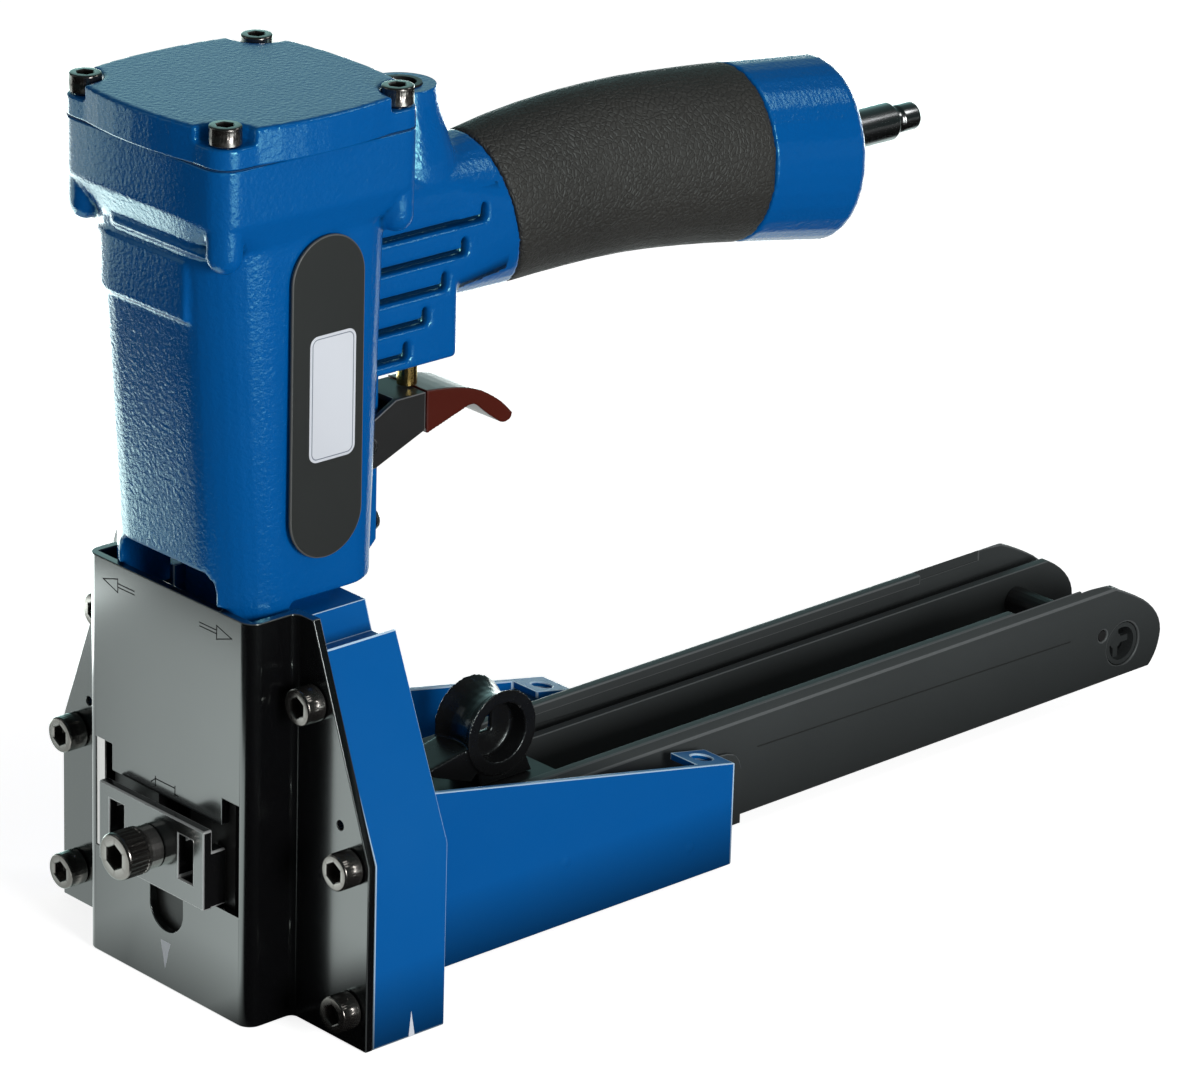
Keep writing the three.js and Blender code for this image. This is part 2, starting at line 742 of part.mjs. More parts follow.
function addDriver(stemHigh) {
  const { thickness, low, high, shoulder } = blade;
  const shankHalf = crownHalf / 2;
  const face = outline([
    [-crownHalf, low], [crownHalf, low], [crownHalf, high - shoulder],
    [shankHalf, high], [shankHalf, tongue.low - seat], [-shankHalf, tongue.low - seat],
    [-shankHalf, high], [-crownHalf, high - shoulder],
  ]);
  const body = join(
    plateAcross(face, axisY - thickness / 2, axisY + thickness / 2),
    barZ(piston.stem, tongue.low - shoulder, stemHigh - seat / 2, 0, axisY, 20),
  );
  add('driver_blade', body, steel);
}

// Grip, air nipple, exhaust insert and label strip on the housing
function addHandleParts() {
  const grip = cut(
    loft(handleRings(gripFront, gripRear, 8, 0, gripSlant)),
    loft(handleRings(gripFront - 3 * overrun, gripRear + overrun, 5, gripThickness)),
  );
  add('grip_sleeve', grip, rubber);
  const { z, body, collar, collarLength, groove, tip } = nipple;
  const start = handleEnd + seat;
  const length = nipple.length - seat;
  const end = start + length;
  const stem = collar - overrun;
  const profile = [
    [0, seat - collarLength], [stem, seat - collarLength], [stem, 0], [collar, 0], [collar, collarLength],
    [body, collarLength + body / 3], [body, length - 3 * groove], [groove, length - 2.7 * groove],
    [groove, length - 2.2 * groove], [tip, length - 2 * groove], [tip, length - tip / 5],
    [tip - tip / 5, length],
    [0, length],
  ];
  const nippleBody = cut(
    turnedBack(profile, 0, start, z, 18),
    barY(nipple.bore, start - overrun - collarLength, end + overrun, 0, z, 16),
  );
  add('air_nipple', nippleBody, steel);
  const insertTop = boss.top - boss.insertDrop;
  const insertLow = boss.top - boss.holeDepth + seat;
  const insertHollow = boss.hole - slip - boss.insertWall;
  const insert = cut(
    barZ(boss.hole - slip, insertLow, insertTop, 0, boss.y, 24),
    barZ(insertHollow, insertLow + boss.insertWall, boss.top, 0, boss.y, 24),
  );
  add('exhaust_insert', insert, darkSteel);
  const shape = new THREE.Shape();
  shape.absarc(strip.y, strip.high - strip.half, strip.half, 0, Math.PI);
  shape.absarc(strip.y, strip.low + strip.half, strip.half, Math.PI, 2 * Math.PI);
  const inner = column.half + seat;
  add('side_strip', plateAlong(shape, inner, inner + strip.thickness, 16), blackSatin);
  const { radius, height, shank, length: reach } = domeScrew;
  const dome = turnedBack([
    [0, -reach], [shank, -reach], [shank, 0], [radius, 0], [radius * 0.87, height * 0.5],
    [radius * 0.55, height * 0.86], [0, height],
  ], 0, spine.rear + seat, domeScrew.z, 16);
  add('spine_screw', dome, blackOxide);
}

// Trigger lever, finger piece, pin and valve
function addTrigger() {
  const { half, sheet: wall, top, front, rear, lowFront, lowRear } = lever;
  const webFront = spine.rear + leverGap;
  const side = outline([
    [front, pivot.z - lever.nose], [front + lever.toe, lowFront], [pivot.y + lever.heel, lowFront],
    [rear, lowRear], [rear, top], [webFront, top], [front + lever.heel, pivot.z + lever.nose],
  ]);
  const cheek = plateAlong(side, half - wall, half);
  const web = block(-half, half, webFront, rear, top - wall, top);
  const stay = block(-half, half, rear - wall * 4, rear - wall * 3, leverTongue.low - wall, top);
  const reach = block(-leverTongue.half, leverTongue.half, rear - wall * 4, leverTongue.rear,
    leverTongue.low, leverTongue.high);
  const body = cut(
    join(cheek, mirrored(cheek), web, reach, stay),
    barX(pivot.radius + slip, -half - overrun, half + overrun, pivot.y, pivot.z, 16),
  );
  add('trigger_lever', body, darkSteel);
  const pinHalf = half + pivot.radius / 2;
  add('trigger_pin', barX(pivot.radius, -pinHalf, pinHalf, pivot.y, pivot.z, 16), steel);
  add('trigger_finger', fingerBody(), redPlastic);
  const stemLow = top + valve.gap;
  const stemHigh = valveHousing.low + valve.roof;
  add('valve_stem', barZ(valve.radius, stemLow, stemHigh, 0, valve.y, 20), brass);
  const valveBody = cut(
    barZ(valve.bodyRadius, valveHousing.low + seat, valve.bodyHigh, 0, valve.y, 20),
    barZ(valve.radius + slip, valveHousing.low - overrun, valve.bodyHigh - valve.roof, 0, valve.y, 20),
  );
  add('valve_body', valveBody, brass);
}

function fingerBody() {
  const front = lever.rear + seat;
  const high = lever.top + finger.overhang;
  const [foot, top, ...bends] = fingerShares.map(([along, down]) => (
    [front + finger.length * along, high - finger.depth * down]
  ));
  const shape = new THREE.Shape();
  shape.moveTo(...foot);
  shape.lineTo(...top);
  for (let i = 0; i < bends.length; i += 2) {
    shape.quadraticCurveTo(...bends[i], ...bends[i + 1]);
  }
  shape.lineTo(...foot);
  const half = lever.half + finger.overhang;
  const slot = block(-leverTongue.half - slip, leverTongue.half + slip, lever.rear - overrun,
    leverTongue.rear + slip, leverTongue.low - slip, leverTongue.high + slip);
  return cut(plateAlong(shape, -half, half, 6), slot);
}

// Front cover, side blocks, guide block and flange screws
function hatSection() {
  const inner = innerBend;
  const half = coverHalfWidth;
  const shape = new THREE.Shape();
  const front = -coverDepth;
  shape.moveTo(-flangeHalfWidth - overrun, 0);
  shape.lineTo(-flangeHalfWidth - overrun, -sheet);
  shape.lineTo(-half - inner, -sheet);
  shape.absarc(-half - inner, -sheet - inner, inner, Math.PI / 2, 0, true);
  shape.lineTo(-half, front + bendRadius);
  shape.absarc(-half + bendRadius, front + bendRadius, bendRadius, Math.PI, 1.5 * Math.PI);
  shape.absarc(half - bendRadius, front + bendRadius, bendRadius, 1.5 * Math.PI, 2 * Math.PI);
  shape.lineTo(half, -sheet - inner);
  shape.absarc(half + inner, -sheet - inner, inner, Math.PI, Math.PI / 2, true);
  shape.lineTo(flangeHalfWidth + overrun, -sheet);
  shape.lineTo(flangeHalfWidth + overrun, 0);
  shape.lineTo(half - sheet, 0);
  shape.lineTo(half - sheet, front + sheet);
  shape.lineTo(-half + sheet, front + sheet);
  shape.lineTo(-half + sheet, 0);
  return shape;
}

function addNose() {
  const rim = outline([
    [-flangeHalfWidth, 0], [flangeHalfWidth, 0], [flangeHalfWidth, shoulderHeight],
    [flangeTopHalf, coverHeight], [-flangeTopHalf, coverHeight], [-flangeHalfWidth, shoulderHeight],
  ]);
  const window = outline([
    [-notchHalf, windowLow], [notchHalf, windowLow], [notchHalf, notchHigh], [windowHalf, notchHigh],
    [windowHalf, windowHigh], [-windowHalf, windowHigh], [-windowHalf, notchHigh], [-notchHalf, notchHigh],
  ]);
  const peep = new THREE.Shape();
  peep.moveTo(peepHalf, windowLow + overrun);
  peep.lineTo(-peepHalf, windowLow + overrun);
  peep.absarc(0, peepLow + peepHalf, peepHalf, Math.PI, 2 * Math.PI);
  const front = -coverDepth - overrun;
  const holes = screwPlaces.flatMap(({ x, z }) => [-x, x].map(
    (side) => barY(flangeScrew.shank + slip, -sheet - overrun, overrun, side, z, 16),
  ));
  const pinHoles = [-pinHole.x, pinHole.x].map(
    (x) => barY(pinHole.radius, -sheet - overrun, overrun, x, pinHole.z, 12),
  );
  const cover = cut(
    plateUp(hatSection(), 0, coverHeight, 6).intersect(plateAcross(rim, front, overrun)),
    plateAcross(window, front, -coverDepth + sheet + overrun),
    plateAcross(peep, front, -coverDepth + sheet + overrun, 8),
    ...holes,
    ...pinHoles,
  );
  add('front_cover', cover, blackGloss);
  const blockBody = sideBlock();
  add('side_block_right', blockBody, blue);
  add('side_block_left', mirrored(blockBody), blue);
  add('guide_block', guideBlock(), darkSteel);
  add('rear_guide', rearGuide(), darkSteel);
  for (const { row, x, z } of screwPlaces) {
    for (const [sideName, side] of [['left', -1], ['right', 1]]) {
      const place = [side * x, -sheet - seat, z];
      add(`flange_screw_${row}_${sideName}`, forwardScrew(flangeScrew), blackOxide, place);
    }
  }
}

function sideBlock() {
  const shape = outline([
    [blockInnerHalf, 0], [flangeHalfWidth, 0], [flangeHalfWidth, shoulderHeight],
    [blockEar.half, blockHeight - blockEar.drop], [blockNotch.outer, blockHeight - blockNotch.depth],
    [blockNotch.inner, blockHeight - blockNotch.depth],
    [blockTopOuterHalf, blockHeight], [blockTopInnerHalf, blockHeight],
    [blockTopInnerHalf, blockLedgeHeight], [blockInnerHalf, blockLedgeHeight],
  ]);
  const clawPocket = barY(claw.outer + 2 * seat, -overrun, pocketDepth, claw.x, claw.z, 48);
  const armPocket = block(blockInnerHalf - overrun, yoke.outer + 2 * seat, -overrun,
    yoke.front + yoke.thickness + seat, claw.z, yoke.barHigh + 2 * seat);
  return cut(
    plateAcross(shape, seat / 3, blockDepth),
    clawPocket,
    armPocket,
    barY(claw.pin + slip, pocketDepth - overrun, claw.pinLength + seat, claw.x, claw.z, 20),
    ...screwPlaces.map(({ x, z }) => barY(flangeScrew.shank + slip, -overrun, flangeScrew.length, x, z, 16)),
  );
}

function guideBlock() {
  const half = blockInnerHalf - seat;
  const topHalf = blockTopInnerHalf - seat;
  const front = -coverDepth + sheet + seat;
  const upperRear = yoke.front - seat;
  const lowerRear = axisY - blade.thickness / 2 - slip;
  const body = join(
    block(-half, half, front, upperRear, 0, blockLedgeHeight - seat),
    block(-topHalf, topHalf, front, upperRear, 0, tongue.low + overrun),
    block(-half, half, upperRear - seat, lowerRear, 0, guideStep),
  );
  const nutSlot = block(-nut.half - slip, nut.half + slip, front - overrun, front + nut.depth + slip,
    plate.low, plate.high + adjustTravel);
  return cut(body, nutSlot);
}

function rearGuide() {
  const half = tongue.half;
  return block(-half, half, axisY + piston.stem + seat, tongue.rear, rail.high + overrun, tongue.low - seat);
}

// Clinching claws: crescents on pins in the side blocks, cranked round by the yoke's arms
function clawShape() {
  const rad = THREE.MathUtils.degToRad;
  const shape = new THREE.Shape();
  shape.absarc(0, 0, claw.outer, rad(claw.tipDeg), rad(claw.heelDeg));
  shape.absarc(0, 0, claw.inner, rad(claw.heelDeg), rad(claw.tipDeg + claw.taperDeg), true);
  return shape;
}

function crankPlace() {
  const angle = THREE.MathUtils.degToRad(crank.deg);
  return [crank.length * Math.cos(angle), crank.length * Math.sin(angle)];
}

function crankShape() {
  const [x, z] = crankPlace();
  const reach = Math.hypot(x, z);
  const sideX = -z / reach * crank.width / 2;
  const sideZ = x / reach * crank.width / 2;
  const heel = THREE.MathUtils.degToRad(claw.webDeg);
  return outline([
    [-sideX, -sideZ], [claw.inner * Math.cos(heel), claw.inner * Math.sin(heel)],
    [x - sideX, z - sideZ], [x + sideX, z + sideZ], [sideX, sideZ],
  ]);
}

function addClinchers() {
  const y0 = claw.front;
  const y1 = claw.front + claw.thickness;
  const [crankX, crankZ] = crankPlace();
  const arc = plateAcross(clawShape(), y0, y1, 9);
  const arm = join(
    plateAcross(crankShape(), y0, y1),
    barY(claw.hub, y0, y1, 0, 0, 24),
    barY(crank.width / 2, y0, y1, crankX, crankZ, 20),
  );
  const grooveRim = claw.outer + claw.groove;
  const groove = barY(grooveRim, y0 + claw.thickness / 3, y1 - claw.thickness / 3, 0, 0, 32);
  const grooveFloor = barY(claw.outer - claw.groove, y0, y1, 0, 0, 32);
  const body = cut(
    join(cut(arc, cut(groove, grooveFloor)), arm),
    barY(claw.pin + slip, y0 - overrun, y1 + overrun, 0, 0, 20),
    barY(crank.rollerPin + slip, y0 - overrun, y0 + claw.thickness / 2, crankX, crankZ, 12),
  );
  const roller = join(
    barY(crank.roller, yoke.front, y0 - seat, crankX, crankZ, 24),
    barY(crank.rollerPin, y0 - 2 * seat, y0 + claw.thickness / 2 - seat, crankX, crankZ, 12),
  );
  for (const [sideName, side] of [['right', 1], ['left', -1]]) {
    const place = [side * claw.x, 0, claw.z];
    add(`clinch_claw_${sideName}`, side > 0 ? body : mirrored(body), steel, place);
    add(`claw_roller_${sideName}`, side > 0 ? roller : mirrored(roller), darkSteel, place);
    add(`claw_pin_${sideName}`, barY(claw.pin, seat, claw.pinLength, 0, 0, 20), darkSteel, place);
  }
  add('clinching_yoke', yokeBody(crankZ), darkSteel);
}

function yokeBody(crankZ) {
  const armLow = claw.z + crankZ + crank.roller + yoke.gap;
  const shape = outline([
    [-yoke.outer, armLow], [-yoke.inner, armLow], [-yoke.inner, yoke.barLow], [yoke.inner, yoke.barLow],
    [yoke.inner, armLow], [yoke.outer, armLow], [yoke.outer, yoke.barHigh], [-yoke.outer, yoke.barHigh],
  ]);
  const rear = axisY - blade.thickness / 2 - seat / 2;
  return join(
    plateAcross(shape, yoke.front, yoke.front + yoke.thickness),
    block(-yoke.bossHalf, yoke.bossHalf, yoke.front, rear, yoke.barLow, yoke.barHigh),
  );
}

// Depth adjuster: a plate that slides in the cover's window, clamped by a knurled screw
function addAdjuster() {
  const front = -coverDepth - plate.proud;
  const rear = front + plate.thickness;
  const back = -coverDepth + sheet + seat;
  const slot = block(plateSlot.inner, plateSlot.outer, front - overrun, back + overrun,
    plateSlot.low, plateSlot.high);
  const middle = (plate.low + plate.high) / 2;
  const inWindow = windowHigh - adjustTravel - seat;
  const body = cut(
    join(
      block(-plate.half, plate.half, front, rear, plate.low, plate.high),
      block(-plate.half, plate.half, rear - seat, -coverDepth + sheet - seat, plate.low + seat, inWindow),
    ),
    slot,
    mirrored(slot),
    barY(depthScrew.shank + slip, front - overrun, overrun - coverDepth + sheet, 0, middle, 20),
  );
  add('adjuster_plate', body, blackSatin);
  const collar = cut(
    barY(bush.radius, front - seat - bush.length, front - seat, 0, middle, 24),
    barY(depthScrew.shank + slip, front - overrun * 2, front + overrun, 0, middle, 20),
  );
  add('adjuster_bush', collar, blackOxide);
  const headSeat = front - 2 * seat - bush.length;
  add('adjuster_screw', forwardScrew(depthScrew), blackOxide, [0, headSeat, middle]);
  const nutFront = -coverDepth + sheet + seat + slip;
  const slide = cut(
    block(-nut.half, nut.half, nutFront, nutFront + nut.depth - 2 * slip, middle - nut.height / 2,
      middle + nut.height / 2),
    barY(depthScrew.shank + slip, nutFront - overrun, nutFront + nut.depth + overrun, 0, middle, 20),
  );
  add('adjuster_nut', slide, steel);
}

// Magazine: two outer rails, the channel core that the staples ride on, the sleeve and the rear end
function tipped(body) {
  return solid(surfaceOf(body).rotateX(THREE.MathUtils.degToRad(tipDeg)));
}

// Everything of the side view that lies behind the rounded ear, down to the bottom
function behindEar(top) {
  const { high, low, rear } = rail;
  const [shoulder, ...bends] = earShares.map(([along, down]) => (
    [ear.start + (rear - ear.start) * along, high - (high - low) * down]
  ));
  const [lastY] = bends[bends.length - 1];
  const tail = new THREE.Shape();
  tail.moveTo(ear.start, top + overrun);
  tail.lineTo(ear.start, high);
  tail.lineTo(...shoulder);
  for (let i = 0; i < bends.length; i += 2) {
    tail.quadraticCurveTo(...bends[i], ...bends[i + 1]);
  }
  tail.lineTo(lastY, low - overrun);
  tail.lineTo(rear + overrun, low - overrun);
  tail.lineTo(rear + overrun, top + overrun);
  return tail;
}

function railBody() {
  const { half, wall, high, shoulder, bevel, lipInner, lip, low, front, rear, floor, floorInner,
    lipRear } = rail;
  const section = outline([
    [half, low], [half, shoulder], [half - bevel, high], [lipInner, high], [lipInner, high - lip],
    [half - wall, high - lip], [half - wall, low + floor], [floorInner, low + floor], [floorInner, low],
  ]);
  return tipped(cut(
    plateAcross(section, front, rear + slip),
    plateAlong(behindEar(high), -overrun, half + overrun, 6),
    block(0, half - bevel, lipRear, rear + overrun, high - lip - overrun, high + overrun),
    block(0, half - wall, ear.start, rear + overrun, 0, high),
    barX(ear.hole, half - wall - overrun, half + overrun, ear.holeY, ear.holeZ, 24),
    barX(endPin.radius + slip, 0, half + overrun, endPin.y, endPin.z, 12),
  ));
}

function coreBody() {
  const { half, wall, low, floor, high, front, floorRear } = core;
  const inside = half - wall;
  const section = outline([
    [-half, low], [half, low], [half, high], [inside, high],
    [inside, low + floor], [-inside, low + floor], [-inside, high], [-half, high],
  ]);
  return tipped(cut(
    plateAcross(section, front, rail.rear + slip),
    plateAlong(behindEar(rail.high), -half - overrun, half + overrun, 6),
    block(-inside, inside, floorRear, rail.rear + overrun, 0, high + overrun),
    barX(endPin.radius + slip, -half - overrun, half + overrun, endPin.y, endPin.z, 12),
  ));
}

// Rimmed plug with spokes in the rail's round hole
function endPlug() {
  const { rim, face, back, flange, hub, spoke } = plug;
  const inner = rail.half - rail.wall - seat;
  const radius = ear.hole - slip;
  const ring = cut(
    join(
      barX(radius, inner - overrun / 2, face, ear.holeY, ear.holeZ, 20),
      barX(flange, back, inner, ear.holeY, ear.holeZ, 20),
    ),
    barX(radius - rim, back - overrun, face + overrun, ear.holeY, ear.holeZ, 20),
  );
  const reach = radius - rim / 2;
  return tipped(join(
    ring,
    block(back, inner, ear.holeY - spoke / 2, ear.holeY + spoke / 2, ear.holeZ - reach, ear.holeZ + reach),
    block(back, inner, ear.holeY - reach, ear.holeY + reach, ear.holeZ - spoke / 2, ear.holeZ + spoke / 2),
    barX(hub, back, inner, ear.holeY, ear.holeZ, 16),
  ));
}

function sleeveBody() {
  const outer = rail.half + seat + sleeveSheet;
  const inner = rail.half + seat;
  const { low, high, rear, corner } = sleeve;
  const front = blockDepth + 2 * seat;
  const section = outline([
    [-outer, low], [outer, low], [outer, high], [inner, high],
    [inner, low + sleeveSheet], [-inner, low + sleeveSheet], [-inner, high], [-outer, high],
  ]);
  const side = new THREE.Shape();
  side.moveTo(front, 0);
  side.lineTo(rear, 0);
  side.lineTo(rear, high - corner);
  side.quadraticCurveTo(rear, high, rear - corner, high);
  side.lineTo(front, high);
  return tipped(plateAcross(section, front, rear).intersect(plateAlong(side, -outer, outer, 6)));
}

function addMagazine() {
  const side = railBody();
  add('magazine_rail_right', side, blackSatin);
  add('magazine_rail_left', mirrored(side), blackSatin);
  add('staple_core', coreBody(), darkSteel);
  add('magazine_sleeve', sleeveBody(), blackSatin);
  const rimmed = endPlug();
  add('end_plug_right', rimmed, blackSatin);
  add('end_plug_left', mirrored(rimmed), blackSatin);
  const pinHalf = rail.half - seat;
  add('end_pin', tipped(barX(endPin.radius, -pinHalf, pinHalf, endPin.y, endPin.z, 12)), darkSteel);
  const spacerHalf = core.half - core.wall - seat;
  add('end_spacer', tipped(cut(
    barX(endPin.spacer, -spacerHalf, spacerHalf, endPin.y, endPin.z, 20),
    barX(endPin.radius + slip, -spacerHalf - overrun, spacerHalf + overrun, endPin.y, endPin.z, 12),
  )), steel);
}

// Blue sheet brackets on both sides, each with a wall, a ledge, a front flange and a tab with a hole
function bracketBody() {
  const { half, sheet: wall, low, frontHigh, rearHigh, rear, ledgeInner, ledgeSheet, flangeInner,
    tabInner, tabFront, holeX, holeY, hole } = bracket;
  const front = blockDepth + seat;
  const slope = (rearHigh - frontHigh) / (rear - front);
  const top = (y) => frontHigh + slope * (y - front);
  const wallShape = outline([[front, low], [rear, low], [rear, rearHigh], [front, frontHigh]]);
  const tabShape = outline([
    [tabFront, top(tabFront)], [tabFront, top(tabFront) - wall], [rear, rearHigh - wall], [rear, rearHigh],
  ]);
  const ledge = block(ledgeInner, half, front, rear, low, low + ledgeSheet);
  const flange = block(flangeInner, half, front, front + wall, low, frontHigh - wall);
  return cut(
    join(
      plateAlong(wallShape, half - wall, half),
      plateAlong(tabShape, tabInner, half - wall / 2),
      ledge,
      flange,
    ),
    barZ(hole, rearHigh - 2 * overrun, frontHigh, holeX, holeY, 20),
  );
}

function addBrackets() {
  const body = bracketBody();
  add('bracket_right', body, blue);
  add('bracket_left', mirrored(body), blue);
}

// Pusher: a sheet slider astride the core, with a waisted knob and a roll spring
function addPusher() {
  const top = core.high + slip;
  const innerHalf = core.half + slip;
  const outerHalf = innerHalf + slider.sheet;
  const section = outline([
    [-outerHalf, slider.legLow], [-innerHalf, slider.legLow], [-innerHalf, top], [innerHalf, top],
    [innerHalf, slider.legLow], [outerHalf, slider.legLow], [outerHalf, top + slider.sheet],
    [-outerHalf, top + slider.sheet],
  ]);
  add('pusher_slider', tipped(plateAcross(section, slider.front, slider.rear)), darkSteel);
  add('pusher_knob', tipped(knobBody(top + slider.sheet + slip)), blackSatin);
}

function knobBody(base) {
  const { y, z, rim, waist, half, hollow, web, inset } = knob;
  const steps = 6;
  const profile = [[0, -half]];
  for (let step = 0; step <= steps; step++) {
    const across = step / steps * 2 - 1;
    profile.push([waist + (rim - waist) * across * across, across * half]);
  }
  profile.push([0, half]);
  const barrel = solid(new THREE.LatheGeometry(profile.map(([r, h]) => new THREE.Vector2(r, h)), 24)
    .rotateZ(-Math.PI / 2)
    .translate(0, y, z));
  const fromMiddle = ([along, up]) => [y + rim * along, z + rim * up];
  const foot = outline([...footHookShares, ...footRearShares].map(fromMiddle));
  const recess = barX(hollow, web / 2, half + overrun, y, z, 24);
  const opening = block(-half - overrun, half + overrun, y + rim * windowShares.front,
    y + rim * windowShares.rear, z + rim * windowShares.low, z + rim * windowShares.high);
  const body = join(barrel, plateAlong(foot, -half + inset, half - inset));
  return cut(
    body,
    recess,
    mirrored(recess),
    opening,
    block(-half - overrun, half + overrun, y - 3 * rim, y + 3 * rim, 0, base),
  );
}

export default stapler;
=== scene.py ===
import json
import math

import bmesh
import bpy
import numpy as np
from mathutils import Matrix, Vector


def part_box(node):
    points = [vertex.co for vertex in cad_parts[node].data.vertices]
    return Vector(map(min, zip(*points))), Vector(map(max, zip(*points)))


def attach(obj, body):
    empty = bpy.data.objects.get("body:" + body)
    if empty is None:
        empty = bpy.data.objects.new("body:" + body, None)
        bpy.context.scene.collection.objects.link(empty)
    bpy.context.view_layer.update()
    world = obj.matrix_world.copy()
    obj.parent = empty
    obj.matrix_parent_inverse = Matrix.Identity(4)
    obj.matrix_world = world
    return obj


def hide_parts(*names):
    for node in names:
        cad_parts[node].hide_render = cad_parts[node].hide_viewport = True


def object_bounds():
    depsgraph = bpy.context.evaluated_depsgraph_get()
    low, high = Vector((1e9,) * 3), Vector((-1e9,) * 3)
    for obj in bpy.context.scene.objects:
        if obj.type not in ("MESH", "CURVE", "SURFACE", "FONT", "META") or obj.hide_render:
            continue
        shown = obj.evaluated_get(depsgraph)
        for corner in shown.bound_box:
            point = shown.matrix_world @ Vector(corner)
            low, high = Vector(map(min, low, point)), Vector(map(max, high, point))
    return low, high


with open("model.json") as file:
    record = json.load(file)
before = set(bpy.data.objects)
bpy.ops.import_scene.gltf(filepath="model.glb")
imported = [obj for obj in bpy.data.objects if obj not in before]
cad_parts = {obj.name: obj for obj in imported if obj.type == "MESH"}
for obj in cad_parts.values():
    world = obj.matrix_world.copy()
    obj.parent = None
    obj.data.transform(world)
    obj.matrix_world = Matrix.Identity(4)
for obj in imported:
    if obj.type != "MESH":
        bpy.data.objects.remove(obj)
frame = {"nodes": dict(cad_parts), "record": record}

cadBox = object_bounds()
mm = 0.001


def placed(name, data):
    # An object that holds this data, in the scene
    made = bpy.data.objects.new(name, data)
    bpy.context.scene.collection.objects.link(made)
    return made


print("stage: camera")

cameraValues = {
    "place": (1.11292, -0.90700, 0.68687),
    "azimuth": 46.975,  # degrees round from the front
    "elevation": 21.346,
    "roll": 1.718,
    "lens": 180.3,
    "clip": (0.05, 50),
}


def makeCamera(values):
    # Back, right and up of the view from its azimuth and elevation, then turned by the roll
    a, e, r = (math.radians(values[key]) for key in ("azimuth", "elevation", "roll"))
    back = Vector((math.sin(a) * math.cos(e), -math.cos(a) * math.cos(e), math.sin(e)))
    right = Vector((math.cos(a), math.sin(a), 0))
    up = back.cross(right)
    across = right * math.cos(r) + up * math.sin(r)
    upright = up * math.cos(r) - right * math.sin(r)
    data = bpy.data.cameras.new("camera")
    data.lens = values["lens"]
    data.clip_start, data.clip_end = values["clip"]
    camera = placed("camera", data)
    turn = Matrix((across, upright, back)).transposed().to_4x4()
    camera.matrix_world = Matrix.Translation(Vector(values["place"])) @ turn
    bpy.context.scene.camera = camera


makeCamera(cameraValues)

print("stage: node groups and materials")


def feed(node, inputs):
    # Each input takes a link from another node's output, or else a fixed value
    for key, value in inputs.items():
        if isinstance(value, bpy.types.NodeSocket):
            node.id_data.links.new(value, node.inputs[key])
        else:
            node.inputs[key].default_value = value


def nodeIn(tree, kind, inputs=None, **settings):
    # A new node with its settings and its inputs
    made = tree.nodes.new(f"ShaderNode{kind}")
    for key, value in settings.items():
        setattr(made, key, value)
    feed(made, inputs or {})
    return made


def mathNode(operation, first, second, clamp=False):
    # One operation on two values, each a number or an output of the tree that it is made in
    tree = next(value.id_data for value in (first, second) if isinstance(value, bpy.types.NodeSocket))
    inputs = {0: first, 1: second}
    return nodeIn(tree, "Math", inputs, operation=operation, use_clamp=clamp).outputs[0]


def plus(first, second):
    # The sum of two values
    return mathNode("ADD", first, second)


def minus(first, second):
    # The first value less the second
    return mathNode("SUBTRACT", first, second)


def times(first, *others):
    # The product of all the values
    for value in others:
        first = mathNode("MULTIPLY", first, value)
    return first


def rising(value, start, gain):
    # The value less its start, times the gain, held within 0 and 1
    return mathNode("MULTIPLY", minus(value, start), gain, True)


def between(value, low, high):
    # 0 up to the low end, then rising evenly to 1 at the high end
    return mathNode("DIVIDE", minus(value, low), high - low, True)


def noiseNode(place, scale, detail, roughness=0.5):
    # Soft noise from 0 to 1 over the place
    inputs = {"Vector": place, "Scale": scale, "Detail": detail, "Roughness": roughness}
    return nodeIn(place.id_data, "TexNoise", inputs).outputs["Fac"]


def vectorNode(tree, operation, inputs):
    # One operation on vectors
    return nodeIn(tree, "VectorMath", inputs, operation=operation).outputs[0]


def objectPlace(tree):
    # The point on the piece, in metres
    return nodeIn(tree, "TexCoord").outputs["Object"]


def makeGroup(name, inputs, *outputs):
    # A shader group with number inputs, each with its start value, and number outputs
    tree = bpy.data.node_groups.new(name, "ShaderNodeTree")
    for label, start in inputs.items():
        socket = tree.interface.new_socket(label, in_out="INPUT", socket_type="NodeSocketFloat")
        socket.default_value = start
    for label in outputs:
        tree.interface.new_socket(label, in_out="OUTPUT", socket_type="NodeSocketFloat")
    return tree, tree.nodes.new("NodeGroupInput").outputs, tree.nodes.new("NodeGroupOutput")


def peelGroup(finer=2.7):
    # Orange peel of sprayed enamel: round bumps, with a finer ripple between them
    tree, entry, leave = makeGroup("peel", {"Scale": 700.0, "Fine": 0.3}, "Height")
    place = objectPlace(tree)
    coarse = noiseNode(place, entry["Scale"], detail=1.5)
    fine = noiseNode(place, times(entry["Scale"], finer), detail=2.0)
    feed(leave, {"Height": plus(coarse, times(fine, entry["Fine"]))})
    return tree


def grainGroup(steepness=5.0, roughShare=0.5):
    # Leather grain: rounded cells between creases, broken up by noise
    tree, entry, leave = makeGroup("grain", {"Scale": 600.0, "Warp": 0.002}, "Height")
    place = objectPlace(tree)
    drift = nodeIn(tree, "TexNoise", {"Vector": place, "Scale": 160, "Detail": 3})
    warp = vectorNode(tree, "SCALE", {0: drift.outputs["Color"], "Scale": entry["Warp"]})
    moved = vectorNode(tree, "ADD", {0: place, 1: warp})
    inputs = {"Vector": moved, "Scale": entry["Scale"]}
    cells = nodeIn(tree, "TexVoronoi", inputs, feature="DISTANCE_TO_EDGE")
    cell = mathNode("MULTIPLY", cells.outputs["Distance"], steepness, True)
    rough = noiseNode(place, scale=900.0, detail=3.0)
    feed(leave, {"Height": plus(cell, times(rough, roughShare))})
    return tree


